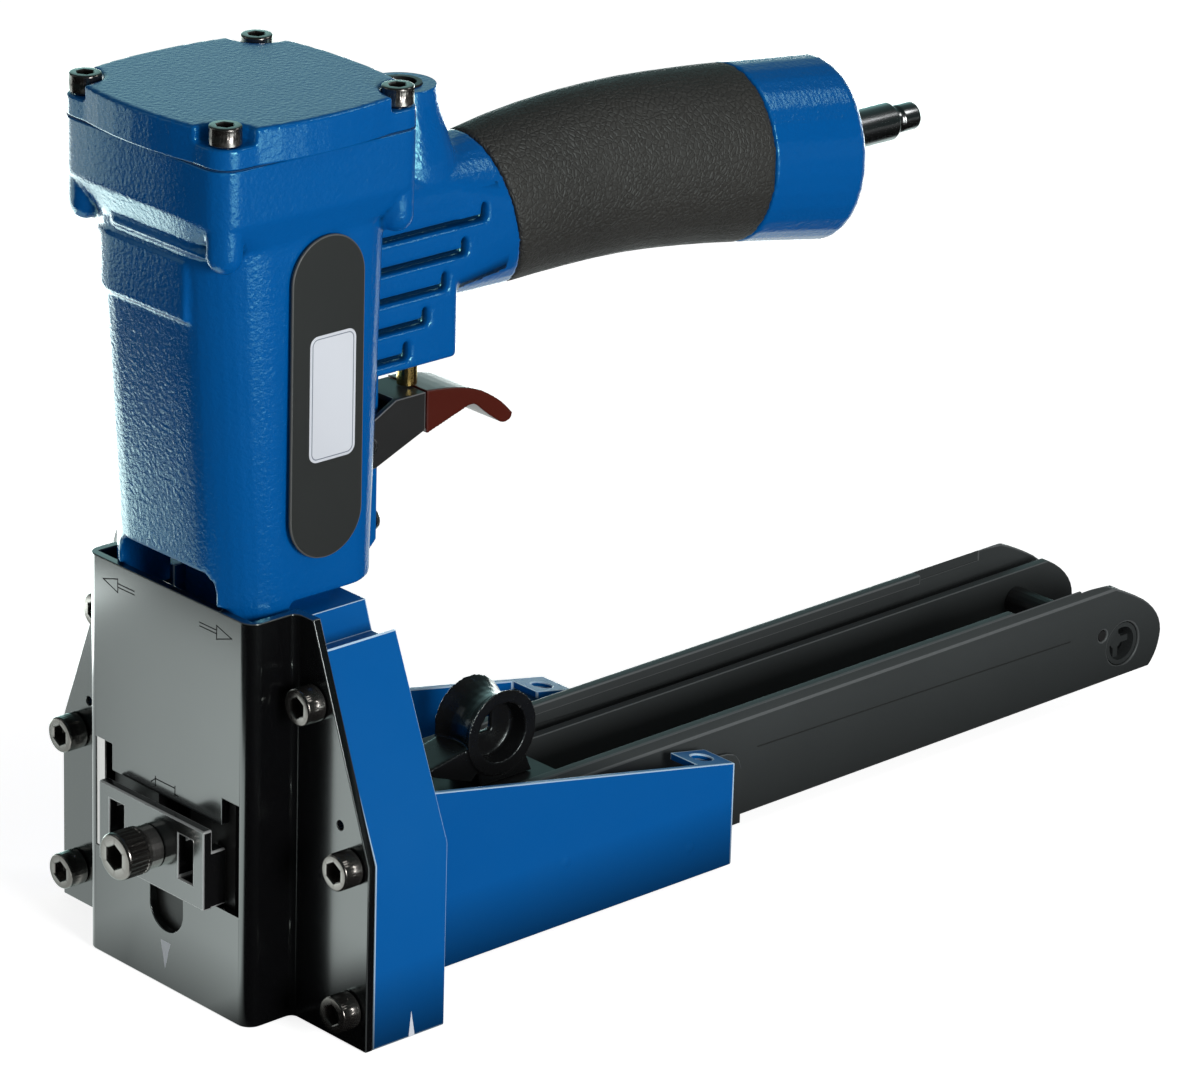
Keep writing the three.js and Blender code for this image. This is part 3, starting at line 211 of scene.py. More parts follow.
def speckGroup():
    # Fine speckle of a satin coat
    tree, entry, leave = makeGroup("speck", {"Scale": 1500.0}, "Height")
    speck = noiseNode(objectPlace(tree), entry["Scale"], detail=3.0, roughness=0.6)
    feed(leave, {"Height": speck})
    return tree


def brushGroup():
    # Fine turning or grinding marks: noise pulled out along one axis
    start = {"Scale": 900.0, "Pull X": 1.0, "Pull Y": 0.08, "Pull Z": 1.0}
    tree, entry, leave = makeGroup("brush", start, "Height")
    pull = nodeIn(tree, "CombineXYZ", {axis: entry[f"Pull {axis}"] for axis in "XYZ"})
    stretched = vectorNode(tree, "MULTIPLY", {0: objectPlace(tree), 1: pull.outputs[0]})
    feed(leave, {"Height": noiseNode(stretched, entry["Scale"], detail=3.0)})
    return tree


def recessGroup():
    # Painted shade in hollows a few millimetres wide, from the piece's own attribute: its depth in
    # millimetres under the evened-out surface, counted from a start
    tree, entry, leave = makeGroup("recess", {"From": 0.22, "Gain": 1.5}, "Hollow")
    deep = nodeIn(tree, "Attribute", attribute_name="hollow").outputs["Fac"]
    feed(leave, {"Hollow": rising(deep, entry["From"], entry["Gain"])})
    return tree


def edgeGroup():
    # Convex edges, which get a painted highlight, and hollows, which get painted shade, both from the
    # pointiness
    tree, entry, leave = makeGroup("edge", {"From": 0.53, "Gain": 12.0}, "Mask", "Hollow")
    bend = nodeIn(tree, "NewGeometry").outputs["Pointiness"]
    for label, value in (("Mask", bend), ("Hollow", minus(1.0, bend))):
        feed(leave, {label: rising(value, entry["From"], entry["Gain"])})
    return tree


groups = {
    "peel": peelGroup(), "grain": grainGroup(), "speck": speckGroup(),
    "brush": brushGroup(), "edge": edgeGroup(), "recess": recessGroup(),
}


def finish(**values):
    # The values of a finish, with the plain ones where it says nothing else. A rim is the painted highlight
    # colour of eased edges; the edge colour is a painted highlight on convex edges by its share, and hollows
    # get painted shade by the cavity; a fade has two heights and the share of light left at the lower one.
    # Depths and heights are in metres
    plain = {
        "effect": "speck", "scale": 1500.0, "more": {}, "depth": 0.00003, "vary": 0.04, "cavity": 0.5,
        "specular": 0.5, "tint": (0.9, 1.0, 0.98), "metallic": 0.0, "coat": 0.0,
    }
    return {**plain, **values}


# Edge and rim colours are painted highlights on convex and eased edges; the cavity and recess shares darken
# hollows with painted shade
finishes = {
    "enamelCast": finish(
        color=(0.0, 0.103, 0.378), second=(0.0, 0.092, 0.340), edge=(0.02, 0.22, 0.52), roughness=0.21,
        bump=0.60, depth=0.00022, effect="peel", scale=820.0, more={"Fine": 0.3}, edgeShare=0.3,
        cavity=1.0, specular=0.7, tint=(0.4, 1.0, 0.93), recess=0.9
    ),
    "enamelPlain": finish(
        color=(0.0, 0.106, 0.385), second=(0.0, 0.098, 0.360), rim=(0.50, 0.68, 0.86), roughness=0.31,
        vary=0.05, bump=0.25, depth=0.00008, effect="peel", more={"Fine": 0.6},
        tint=(0.4, 1.0, 0.93), fade=(0.001, 0.022, 0.30)
    ),
    "coverBlack": finish(
        color=(0.0025, 0.0025, 0.003), second=(0.0035, 0.0035, 0.004), rim=(0.05, 0.055, 0.055),
        roughness=0.17, vary=0.03, bump=0.03, scale=1300.0, specular=1.0, coat=1.0
    ),
    "satinBlack": finish(
        color=(0.052, 0.0575, 0.0585), second=(0.040, 0.0445, 0.045), rim=(0.11, 0.118, 0.12),
        roughness=0.46, vary=0.06, bump=0.22, depth=0.00005, fade=(0.006, 0.032, 0.42)
    ),
    "plateBlack": finish(
        color=(0.005, 0.005, 0.0055), second=(0.007, 0.007, 0.0075), rim=(0.36, 0.37, 0.37),
        roughness=0.20, bump=0.05, depth=0.00004, specular=1.0, coat=1.0
    ),
    "knobBlack": finish(
        color=(0.006, 0.006, 0.0065), second=(0.009, 0.009, 0.0095), edge=(0.10, 0.10, 0.10),
        roughness=0.27, vary=0.05, bump=0.06, edgeShare=0.5, cavity=0.3, specular=0.7
    ),
    "stripBlack": finish(
        color=(0.017, 0.0175, 0.0172), second=(0.022, 0.0225, 0.022), rim=(0.09, 0.09, 0.088),
        roughness=0.46, vary=0.05, bump=0.14, depth=0.00005, specular=0.6
    ),
    "engraved": finish(
        color=(0.004, 0.004, 0.004), second=(0.006, 0.006, 0.006), roughness=0.6, bump=0.1, specular=0.2
    ),
    "oxide": finish(
        color=(0.24, 0.225, 0.21), second=(0.13, 0.12, 0.112), edge=(0.75, 0.73, 0.70), roughness=0.22,
        vary=0.08, bump=0.10, scale=1800.0, edgeShare=0.7, metallic=0.95
    ),
    "brightSteel": finish(
        color=(0.42, 0.42, 0.42), second=(0.34, 0.34, 0.35), roughness=0.24, vary=0.08, effect="brush",
        bump=0.10, scale=1200.0, metallic=1.0
    ),
    "faceSteel": finish(
        color=(0.62, 0.58, 0.575), second=(0.57, 0.54, 0.535), roughness=0.14, bump=0.05, scale=1200.0,
        metallic=1.0
    ),
    "darkSteel": finish(
        color=(0.040, 0.040, 0.041), second=(0.055, 0.054, 0.053), rim=(0.22, 0.22, 0.22), roughness=0.38,
        vary=0.08, effect="brush", bump=0.12, depth=0.00004, scale=800.0, metallic=0.6
    ),
    "turnedBrass": finish(
        color=(0.52, 0.36, 0.13), second=(0.42, 0.28, 0.09), roughness=0.25, vary=0.08, effect="brush",
        bump=0.12, scale=1000.0, more={"Pull Y": 1.0, "Pull Z": 8.0}, metallic=1.0
    ),
    "gripRubber": finish(
        color=(0.026, 0.0245, 0.0225), second=(0.040, 0.0375, 0.034), edge=(0.06, 0.055, 0.05),
        roughness=0.56, vary=0.10, effect="grain", bump=0.6, depth=0.00028, scale=640.0,
        more={"Warp": 0.0022}, edgeShare=0.3
    ),
    "plainRubber": finish(
        color=(0.02, 0.019, 0.018), second=(0.03, 0.029, 0.027), roughness=0.7, vary=0.08, bump=0.2,
        depth=0.00008, scale=900.0, specular=0.4
    ),
    "redPlastic": finish(
        color=(0.095, 0.011, 0.005), second=(0.065, 0.008, 0.004), edge=(0.25, 0.07, 0.05),
        roughness=0.30, vary=0.05, bump=0.06, depth=0.00004, scale=1100.0, edgeShare=0.3, specular=0.6
    ),
    "gasketFibre": finish(
        color=(0.0, 0.05, 0.18), second=(0.0, 0.04, 0.14), roughness=0.6, vary=0.1, bump=0.3,
        depth=0.00008, scale=1200.0, specular=0.3
    ),
    "labelWhite": finish(
        color=(0.72, 0.75, 0.80), second=(0.66, 0.70, 0.76), roughness=0.25, bump=0.03, depth=0.00002,
        scale=700.0, specular=0.6
    ),
    "labelGrey": finish(
        color=(0.23, 0.26, 0.31), second=(0.2, 0.23, 0.28), roughness=0.3, bump=0.03, depth=0.00002,
        scale=700.0
    ),
}


def mixColor(share, first, second):
    # From the first colour to the second as the share goes from 0 to 1
    first, second = ((*color, 1) if isinstance(color, tuple) else color for color in (first, second))
    inputs = {"Factor": share, 6: first, 7: second}
    return nodeIn(share.id_data, "Mix", inputs, data_type="RGBA").outputs[2]


def dimmed(color, share):
    # Every part of a colour times the share
    return tuple(part * share for part in color)


def makeMaterial(name, values, hollowShade=0.06, shadow=0.05, coatRoughness=0.12):
    # Two close colours drift over the surface, convex edges get a painted highlight and hollows painted
    # shade, and the effect gives the bump
    material = bpy.data.materials.new(name)
    material.use_nodes = True
    tree = material.node_tree
    place = objectPlace(tree)
    body = mixColor(noiseNode(place, scale=22.0, detail=3.0), values["color"], values["second"])
    # Painted highlight on convex edges and painted shade in hollows, from the pointiness
    if "edgeShare" in values:
        edge = nodeIn(tree, "Group", node_tree=groups["edge"]).outputs
        body = mixColor(times(edge["Mask"], values["edgeShare"]), body, values["edge"])
        share = times(edge["Hollow"], values["cavity"])
        body = mixColor(share, body, dimmed(values["color"], hollowShade))
    # Painted shade in hollows a few millimetres wide, such as the vent grooves
    if "recess" in values:
        recess = nodeIn(tree, "Group", node_tree=groups["recess"]).outputs["Hollow"]
        body = mixColor(times(recess, values["recess"]), body, dimmed(values["color"], shadow))
    if "fade" in values:
        low, high, least = values["fade"]
        height = nodeIn(tree, "SeparateXYZ", {0: place}).outputs["Z"]
        body = mixColor(between(height, low, high), dimmed(values["color"], least), body)
    drift = times(noiseNode(place, scale=60.0, detail=4.0), 2 * values["vary"])
    inputs = {"Scale": values["scale"], **values["more"]}
    effect = nodeIn(tree, "Group", inputs, node_tree=groups[values["effect"]])
    bump = nodeIn(tree, "Bump", {
        "Strength": values["bump"], "Distance": values["depth"], "Height": effect.outputs["Height"],
    })
    feed(tree.nodes["Principled BSDF"], {
        "Base Color": body, "Roughness": plus(drift, values["roughness"] - values["vary"]),
        "Normal": bump.outputs["Normal"], "Metallic": values["metallic"], "Coat Weight": values["coat"],
        "Coat Roughness": coatRoughness, "Specular IOR Level": values["specular"],
        "Specular Tint": (*values["tint"], 1),
    })
    return material


materials = {name: makeMaterial(name, values) for name, values in finishes.items()}
# Lighter copies of the finishes for eased edges, whose rim colour is a painted highlight
rimHighlights = {
    name: makeMaterial(f"{name}RimHighlight", {**values, "color": values["rim"], "second": values["rim"]})
    for name, values in finishes.items() if "rim" in values
}

print("stage: finishes of the CAD nodes")

nodesOfFinish = {
    "enamelCast": ["cylinder_housing", "head_cap"],
    "enamelPlain": ["side_block_right", "side_block_left", "bracket_right", "bracket_left"],
    "coverBlack": ["front_cover"],
    "satinBlack": ["magazine_rail_right", "magazine_rail_left", "staple_core", "magazine_sleeve",
                   "end_plug_right", "end_plug_left"],
    "plateBlack": ["adjuster_plate"],
    "knobBlack": ["pusher_knob"],
    "stripBlack": ["side_strip"],
    "oxide": ["adjuster_bush"],
    "brightSteel": ["cylinder_sleeve", "piston", "driver_blade", "air_nipple", "trigger_pin",
                    "adjuster_nut"],
    "turnedBrass": ["valve_stem", "valve_body"],
    "gripRubber": ["grip_sleeve"],
    "plainRubber": ["piston_bumper", "piston_seal"],
    "redPlastic": ["trigger_finger"],
    "gasketFibre": ["head_gasket"],
}
finishOfNode = {node: finish for finish, nodes in nodesOfFinish.items() for node in nodes}


def finishOf(node):
    # A node's listed finish. Of the others, screws are black oxide, the claws bright and the rest dark steel
    if node in finishOfNode:
        return finishOfNode[node]
    if "screw" in node:
        return "oxide"
    return "brightSteel" if node.startswith("clinch_claw") else "darkSteel"


for node, piece in frame["nodes"].items():
    piece.data.materials.clear()
    piece.data.materials.append(materials[finishOf(node)])

bodyOfNode = {
    node: body for body, nodes in frame["record"]["behaviour"]["bodies"].items() for node in nodes
}
slotOfNode = {entry["node"]: entry["material_slot"] for entry in frame["record"]["subparts"]}

print("stage: shared mesh tools")

meshValues = {
    # Distances in metres: points that become one in a new piece and in a CAD mesh, and slivers
    "double": 1e-7, "weld": 2e-6, "sliver": 1e-5,
    "flat": 0.004,  # radians between faces that are one flat
    # Faces share a plane where their normals and offsets round to the same steps
    "normalSteps": 200, "offsetSteps": 20000, "shift": 0.137,
    "apart": 50,  # degrees between faces whose normals may blend
    "own": 1e-12,  # share of a corner's own face, so that no normal is empty
}
easeValues = {"segments": 2, "angle": 28}
castValues = {
    "near": 2e-5,  # metres from a stated end within which a point belongs to it
    "far": 1000.0,  # millimetres, beyond every piece
    "spare": 2.5,  # voxels by which an end is drawn out
    "soften": 0.5,
    # A face counts as a front one from the first value of its normal, and fully this much above it
    "front": 0.80, "frontOver": 0.15,
}


def column(items, key, width=1, kind=float):
    # One value, or one row of values, for every item of a mesh
    found = np.empty(len(items) * width, kind)
    items.foreach_get(key, found)
    return found if width == 1 else found.reshape(-1, width)


def newPiece(name, points, faces, smooth=35):
    # A mesh object from arrays, with its doubles merged and its faces turned outwards
    mesh = bpy.data.meshes.new(name)
    mesh.from_pydata(np.asarray(points, float).reshape(-1, 3).tolist(), [], [list(f) for f in faces])
    work = bmesh.new()
    work.from_mesh(mesh)
    bmesh.ops.remove_doubles(work, verts=work.verts, dist=meshValues["double"])
    bmesh.ops.recalc_face_normals(work, faces=work.faces)
    work.to_mesh(mesh)
    work.free()
    mesh.shade_smooth()
    mesh.set_sharp_from_angle(angle=math.radians(smooth))
    return placed(name, mesh)


def gridFaces(rows, columns):
    # Quads between neighbouring rows of a grid whose columns close into a ring
    row = np.arange(rows - 1)[:, None] * columns
    this = np.arange(columns)[None, :]
    after = (this + 1) % columns
    quads = np.stack([row + this, row + after, row + columns + after, row + columns + this], -1)
    return quads.reshape(-1, 4)


def roundProfile(corners, radii, steps=4):
    # Each corner of a line of (radius, height) is replaced by a quadratic arc that starts its radius away
    corners = np.asarray(corners, float)
    t = np.linspace(0, 1, steps + 1)[:, None]
    line = [corners[:1]]
    for before, corner, after, radius in zip(corners, corners[1:], corners[2:], radii[1:]):
        start, end = (
            corner + leg * min(0.5, radius / max(np.linalg.norm(leg), 1e-9))
            for leg in (before - corner, after - corner)
        )
        line.append((1 - t) ** 2 * start + 2 * t * (1 - t) * corner + t ** 2 * end)
    line.append(corners[-1:])
    return np.concatenate(line)


# Where a turned piece's own X, Y and Z go for each direction of its axis
axisFrames = {"+z": np.eye(3)}
for word, sign in (("+", 1), ("-", -1)):
    axisFrames[f"{word}x"] = np.array([[0, 0, -sign], [0, 1, 0], [sign, 0, 0]])
    axisFrames[f"{word}y"] = np.array([[1, 0, 0], [0, 0, -sign], [0, sign, 0]])


def turned(radius, height, facets):
    # Rings of points round Z: each has its height, and one radius or a radius for every facet
    turn = np.linspace(0, 2 * np.pi, facets, endpoint=False)
    level = height + np.zeros(facets)
    return np.stack([radius * np.cos(turn), radius * np.sin(turn), level], -1).reshape(-1, 3)


def turnedPiece(name, radius, height, facets, place, axis, smooth=35, closed=False):
    # Rings in millimetres round an axis through a place in metres; a closed section ends where it starts
    local = turned(radius * mm, height * mm, facets)
    faces = gridFaces(len(height) + closed, facets) % (len(height) * facets)
    return newPiece(name, local @ axisFrames[axis] + np.asarray(place, float), faces, smooth)


def evaluated(piece):
    # The piece with its modifiers worked out
    return piece.evaluated_get(bpy.context.evaluated_depsgraph_get())


def baked(piece):
    # The piece's modifiers become its mesh
    done = bpy.data.meshes.new_from_object(evaluated(piece))
    done.name = piece.name
    piece.modifiers.clear()
    old, piece.data = piece.data, done
    bpy.data.meshes.remove(old)
    return piece


def levelled(mesh):
    # Each corner's normal leans to the widest flat it touches, so flats stay flat and rounds blend
    mesh.shade_smooth()
    vertex = column(mesh.loops, "vertex_index", kind=int)
    count = column(mesh.polygons, "loop_total", kind=int)
    normal, area = column(mesh.polygons, "normal", 3), column(mesh.polygons, "area")
    offset = (normal * column(mesh.polygons, "center", 3)).sum(1, keepdims=True)
    steps = [normal * meshValues["normalSteps"], offset * meshValues["offsetSteps"]]
    plane = (np.concatenate(steps, 1) + meshValues["shift"]).round()
    group = np.unique(plane, axis=0, return_inverse=True)[1].ravel()
    spread = np.bincount(group, weights=area)[group]
    face = np.repeat(np.arange(len(count)), count)
    order = np.argsort(vertex, kind="stable")
    found = np.bincount(vertex)
    start = np.concatenate([[0], np.cumsum(found)[:-1]])
    total = np.zeros((len(vertex), 3))
    least = math.cos(math.radians(meshValues["apart"]))
    for step in range(found.max()):
        some = found[vertex] > step
        other = face[order[start[vertex[some]] + step]]
        near = (normal[face[some]] * normal[other]).sum(1) > least
        total[some] += normal[other] * (spread[other] * near)[:, None]
    total += normal[face] * meshValues["own"]
    total /= np.linalg.norm(total, axis=1, keepdims=True)
    mesh.normals_split_custom_set(total.tolist())


def mergedCopy(node, flat=False):
    # A welded copy of a CAD node's mesh; its flats can be made whole, so that no sliver is left
    piece = placed(f"{node}_eased" if flat else f"{node}_copy", frame["nodes"][node].data.copy())
    work = bmesh.new()
    work.from_mesh(piece.data)
    bmesh.ops.remove_doubles(work, verts=work.verts, dist=meshValues["weld"])
    if flat:
        angle = meshValues["flat"]
        bmesh.ops.dissolve_degenerate(work, edges=work.edges, dist=meshValues["sliver"])
        bmesh.ops.dissolve_limit(work, angle_limit=angle, verts=work.verts, edges=work.edges)
        bmesh.ops.triangulate(work, faces=work.faces)
    work.to_mesh(piece.data)
    work.free()
    return piece


def finished(piece, finish, *nodes, body=None, slot=None):
    # The finish, with the rim's painted highlight on the faces that a bevel marked, then what the piece rides
    # on
    mark = column(piece.data.polygons, "material_index", kind=int)
    piece.data.materials.clear()
    piece.data.materials.append(materials[finish])
    if finish in rimHighlights:
        piece.data.materials.append(rimHighlights[finish])
    piece.data.polygons.foreach_set("material_index", mark.clip(0, len(piece.data.materials) - 1))
    if nodes:
        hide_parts(*nodes)
    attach(piece, body or bodyOfNode[nodes[0]])


def eased(node, width):
    # The CAD form with every sharp edge eased by a small round, whose faces have the second material: the
    # rim's painted highlight
    piece = mergedCopy(node, True)
    piece.data.materials.append(piece.data.materials[0])
    bevel = piece.modifiers.new("ease", "BEVEL")
    bevel.width = width * mm
    bevel.segments = easeValues["segments"]
    bevel.limit_method = "ANGLE"
    bevel.angle_limit = math.radians(easeValues["angle"])
    bevel.use_clamp_overlap = False
    bevel.material = 1
    piece.modifiers.new("triangles", "TRIANGULATE")
    levelled(baked(piece).data)
    finished(piece, finishOf(node), node)


def smoothing(piece, passes):
    # A modifier that moves each point towards the middle of its neighbours, as many times as stated
    made = piece.modifiers.new("smoothing", "SMOOTH")
    made.factor = castValues["soften"]
    made.iterations = passes
    return made


def cast(name, sources, values):
    # Closed shells grown together into one casting: remeshed to small cubes and then smoothed.
    # A flat at the stated low or high end is drawn out first and cut back after, which keeps its rim sharp
    low, high = (values.get(key, far) * mm for key, far in
                 (("low", -castValues["far"]), ("high", castValues["far"])))
    work = bmesh.new()
    for source in sources:
        work.from_mesh(source.data)
        bpy.data.objects.remove(source)
    mesh = bpy.data.meshes.new(name)
    work.to_mesh(mesh)
    work.free()
    places = column(mesh.vertices, "co", 3)
    atLow, atHigh = (np.abs(places[:, 2] - end) < castValues["near"] for end in (low, high))
    places[:, 2] += castValues["spare"] * values["voxel"] * mm * (atHigh * 1.0 - atLow)
    mesh.vertices.foreach_set("co", places.ravel())
    piece = placed(name, mesh)
    grow = piece.modifiers.new("grow", "REMESH")
    grow.mode = "VOXEL"
    grow.voxel_size = values["voxel"] * mm
    smoothing(piece, values["passes"])
    baked(piece)
    places = column(piece.data.vertices, "co", 3)
    places[:, 2] = places[:, 2].clip(low, high)
    piece.data.vertices.foreach_set("co", places.ravel())
    piece.data.shade_smooth()
    return piece


def vertexArrays(mesh):
    # Places and normals of a mesh's points, as rows
    return column(mesh.vertices, "co", 3), column(mesh.vertex_normals, "vector", 3)


def hollowed(piece, values):
    # How far each point lies under the evened-out surface, in millimetres, kept as the attribute "hollow",
    # which sets the painted shade in hollows. In the vent grooves it is the share of their depth
    places, normals = vertexArrays(piece.data)
    even = smoothing(piece, values["even"])
    after = column(evaluated(piece).data.vertices, "co", 3)
    piece.modifiers.remove(even)
    depth = ((after - places) * normals).sum(1) / mm
    if "vents" in values:
        vents = values["vents"]
        x, y, z = np.abs(places.T) / mm
        inside = (y > vents["y"][0]) & (y < vents["y"][1]) & (z > vents["z"][0]) & (z < vents["z"][1])
        inside &= (depth > vents["least"]) & (x > vents["side"] - vents["reach"] * vents["depth"])
        depth = np.where(inside, np.maximum(depth, (vents["side"] - x) / vents["depth"]), depth)
    piece.data.attributes.new("hollow", "FLOAT", "POINT").data.foreach_set("value", depth)


def crowned(piece, values):
    # The front faces' normals turn outwards with the square of x, as on a gently crowned casting
    places, normals = vertexArrays(piece.data)
    share = ((-normals[:, 1] - castValues["front"]) / castValues["frontOver"]).clip(0, 1)
    across = places[:, 0] / (values["half"] * mm)
    normals[:, 0] += share * values["lean"] * across * np.abs(across)
    normals /= np.linalg.norm(normals, axis=1, keepdims=True)
    piece.data.normals_split_custom_set_from_vertices(normals.tolist())
    return normals


def divided(piece, name, normals):
    # The upper half of the faces goes to a second piece.
    # Both keep the whole casting's normals, so no seam shows
    mesh = piece.data
    vertex = column(mesh.loops, "vertex_index", kind=int)
    count = column(mesh.polygons, "loop_total", kind=int)
    height = column(mesh.polygons, "center", 3)[:, 2]
    over = height > np.median(height)
    places = column(mesh.vertices, "co", 3)
    hollow = column(mesh.attributes["hollow"].data, "value")
    made = []
    for title, kept in ((piece.name, ~over), (name, over)):
        used, corner = np.unique(vertex[np.repeat(kept, count)], return_inverse=True)
        ends = np.cumsum(count[kept])[:-1]
        share = bpy.data.meshes.new(title)
        share.from_pydata(places[used].tolist(), [], [f.tolist() for f in np.split(corner, ends)])
        share.shade_smooth()
        share.attributes.new("hollow", "FLOAT", "POINT").data.foreach_set("value", hollow[used])
        share.normals_split_custom_set_from_vertices(normals[used].tolist())
        made.append(share)
    piece.data = made[0]
    return placed(name, made[1])


print("stage: housing and cap")

housingValues = {
    "voxel": 0.72, "passes": 3, "high": 236.4, "even": 50, "lean": 0.20, "half": 26.0,
    # The round bosses under the head's screws, and the drip lip on its front
    "axis": 6.09, "screw": 28.07, "boss": 4.7, "bossLow": 210.8, "bossHigh": 224,
    "lip": (-13, 23), "lipZ": 212.4, "lipY": -24.0, "lipSize": 1.3,
    # Vent grooves, whose depth share sets the painted shade in them
    "vents": {
        "side": 15.7, "depth": 2.0, "y": (26.0, 86.0), "z": (158.0, 209.0),
        "least": -0.12,  # a groove's points lie no further above the evened-out surface
        "reach": 1.2,  # depths from the side within which they lie
    },
}
capValues = {"voxel": 0.6, "passes": 2, "low": 237.0, "even": 30, "lean": 0.10, "half": 28.0}


def roundBar(name, low, high, radius, facets=20, rounds=6):
    # A capsule between two points, in millimetres; the slanting vector only picks where its facets start
    low, high = np.array([low, high], float)
    reach = np.linalg.norm(high - low)
    along = (high - low) / reach
    side = np.cross(along, (0.3, 0.5, 0.81))
    side /= np.linalg.norm(side)
    spin = np.stack([side, np.cross(along, side), along])
    sweep = np.linspace(0, np.pi / 2, rounds)
    rings = np.concatenate([
        np.stack([np.sin(sweep), -np.cos(sweep)], -1) * radius,
        np.stack([np.cos(sweep), np.sin(sweep)], -1) * radius + [0, reach],
    ])
    local = turned(rings[:, :1], rings[:, 1:], facets)
    return newPiece(name, (local @ spin + low) * mm, gridFaces(len(rings), facets))


def makeHousing(values):
    # The CAD casting grown together with a round boss under each head screw and with the drip lip
    sources = [mergedCopy("cylinder_housing")]
    reach, axis = values["screw"], values["axis"]
    for x, y in ((reach, -reach), (reach, reach), (-reach, -reach), (-reach, reach)):
        low = (x, axis + y, values["bossLow"] + values["boss"] / 2)
        sources.append(roundBar("boss_copy", low, (x, axis + y, values["bossHigh"]), values["boss"]))
    spots = [(x, values["lipY"], values["lipZ"]) for x in values["lip"]]
    sources.append(roundBar("lip_copy", *spots, values["lipSize"]))
    piece = cast("housing_cast", sources, values)
    hollowed(piece, values)
    head = divided(piece, "housing_cast_head", crowned(piece, values))
    finished(head, "enamelCast", body="tool_body", slot=slotOfNode["cylinder_housing"])
    finished(piece, "enamelCast", "cylinder_housing")


def makeCap(values):
    # The CAD cap as a casting
    piece = cast("cap_cast", [mergedCopy("head_cap")], values)
    hollowed(piece, values)
    crowned(piece, values)
    finished(piece, "enamelCast", "head_cap")


makeHousing(housingValues)
makeCap(capValues)

print("stage: sheet parts and blocks")

easeWidths = {
    "front_cover": 0.3, "side_block_right": 0.4, "side_block_left": 0.4, "bracket_right": 0.5,
    "bracket_left": 0.5, "magazine_rail_right": 0.5, "magazine_rail_left": 0.5, "staple_core": 0.3,
    "magazine_sleeve": 0.25, "adjuster_plate": 0.5, "trigger_lever": 0.3, "side_strip": 0.4,
}
for node, width in easeWidths.items():
    eased(node, width)

print("stage: screws")

# What all screws share: facets and knurls round the head, its lower chamfer, the step and start of the
# knurl, the plain band over it, the socket's chamfer and wall, and the cone in its floor
screwShape = {
    "facets": 96, "teeth": 32, "chamfer": (0.25, 0.3), "step": 0.12, "start": 0.1, "band": 0.3,
    "mouth": (0.35, 0.3), "wall": 0.02, "cone": 0.12, "smooth": 30,
}
capScrewValues = {
    "head": 4.25, "height": 5.0, "shank": 2.4, "length": 16.9, "edge": 0.5, "flats": 4.0, "socket": 2.6,
    "knurl": 0.10, "plain": 2.2, **screwShape,
}
flangeScrewValues = {
    "head": 5.0, "height": 6.0, "shank": 2.9, "length": 9.9, "edge": 0.6, "flats": 5.0, "socket": 3.0,
    "knurl": 0.12, "plain": 2.6, **screwShape,
}
depthScrewValues = {
    "head": 6.5, "height": 8.0, "shank": 3.9, "length": 18.9, "edge": 0.8, "flats": 6.0, "socket": 4.2,
    "knurl": 0.28, "plain": 1.2, **screwShape,
}


def hexRadius(flats, angle):
    # Distance from the middle to a hexagon's side, at each angle
    third = np.pi / 3
    return flats / 2 / np.cos((angle + third / 2) % third - third / 2)


def screwPiece(name, values, place, axis):
    # Radius for each ring and facet: shank, knurled side, rounded rim, and down a hexagonal socket
    head, high, edge, plain = (values[key] for key in ("head", "height", "edge", "plain"))
    shank, low, (inset, rise) = values["shank"], -values["length"], values["chamfer"]
    turn = np.linspace(0, 2 * np.pi, values["facets"], endpoint=False)
    rim = [(head - edge + edge * math.cos(a), high - edge + edge * math.sin(a))
           for a in np.linspace(0, np.pi / 2, 5)]
    side = [(head - inset, 0), (head, rise), (head, plain), (head, plain + values["step"])]
    top = (head, high - edge - values["band"])
    rings = np.array([(0, low), (shank, low), (shank, 0), *side, top, *rim])
    ribbed = (rings[:, 1:] > plain + values["start"]) & (rings[:, 1:] < high - edge)
    ridge = values["knurl"] * np.abs(np.sin(turn * values["teeth"] / 2))
    hexed = hexRadius(values["flats"], turn)
    wider, deeper = values["mouth"]
    inner = np.stack([hexed + wider, hexed + values["wall"], hexed, hexed * 0])
    floor = high - values["socket"]
    heights = [high, high - deeper, floor, floor - values["flats"] * values["cone"]]
    radius = np.concatenate([rings[:, :1] - ribbed * ridge, inner])
    height = np.concatenate([rings[:, 1], heights])[:, None]
    return turnedPiece(name, radius, height, values["facets"], place, axis, values["smooth"])


def makeScrews():
    # Every socket screw stands where its node's box ends: the cap's upwards, the others towards the front
    for node in frame["nodes"]:
        if "screw" not in node or node == "spine_screw":
            continue
        low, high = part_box(node)
        middle = (low + high) / 2
        if node.startswith("cap"):
            values, axis = capScrewValues, "+z"
            place = (middle.x, middle.y, high.z - values["height"] * mm)
        else:
            values, axis = (depthScrewValues if "adjuster" in node else flangeScrewValues), "-y"
            place = (middle.x, low.y + values["height"] * mm, middle.z)
        finished(screwPiece(f"{node}_turned", values, place, axis), "oxide", node)


makeScrews()

print("stage: turned and moulded pieces")

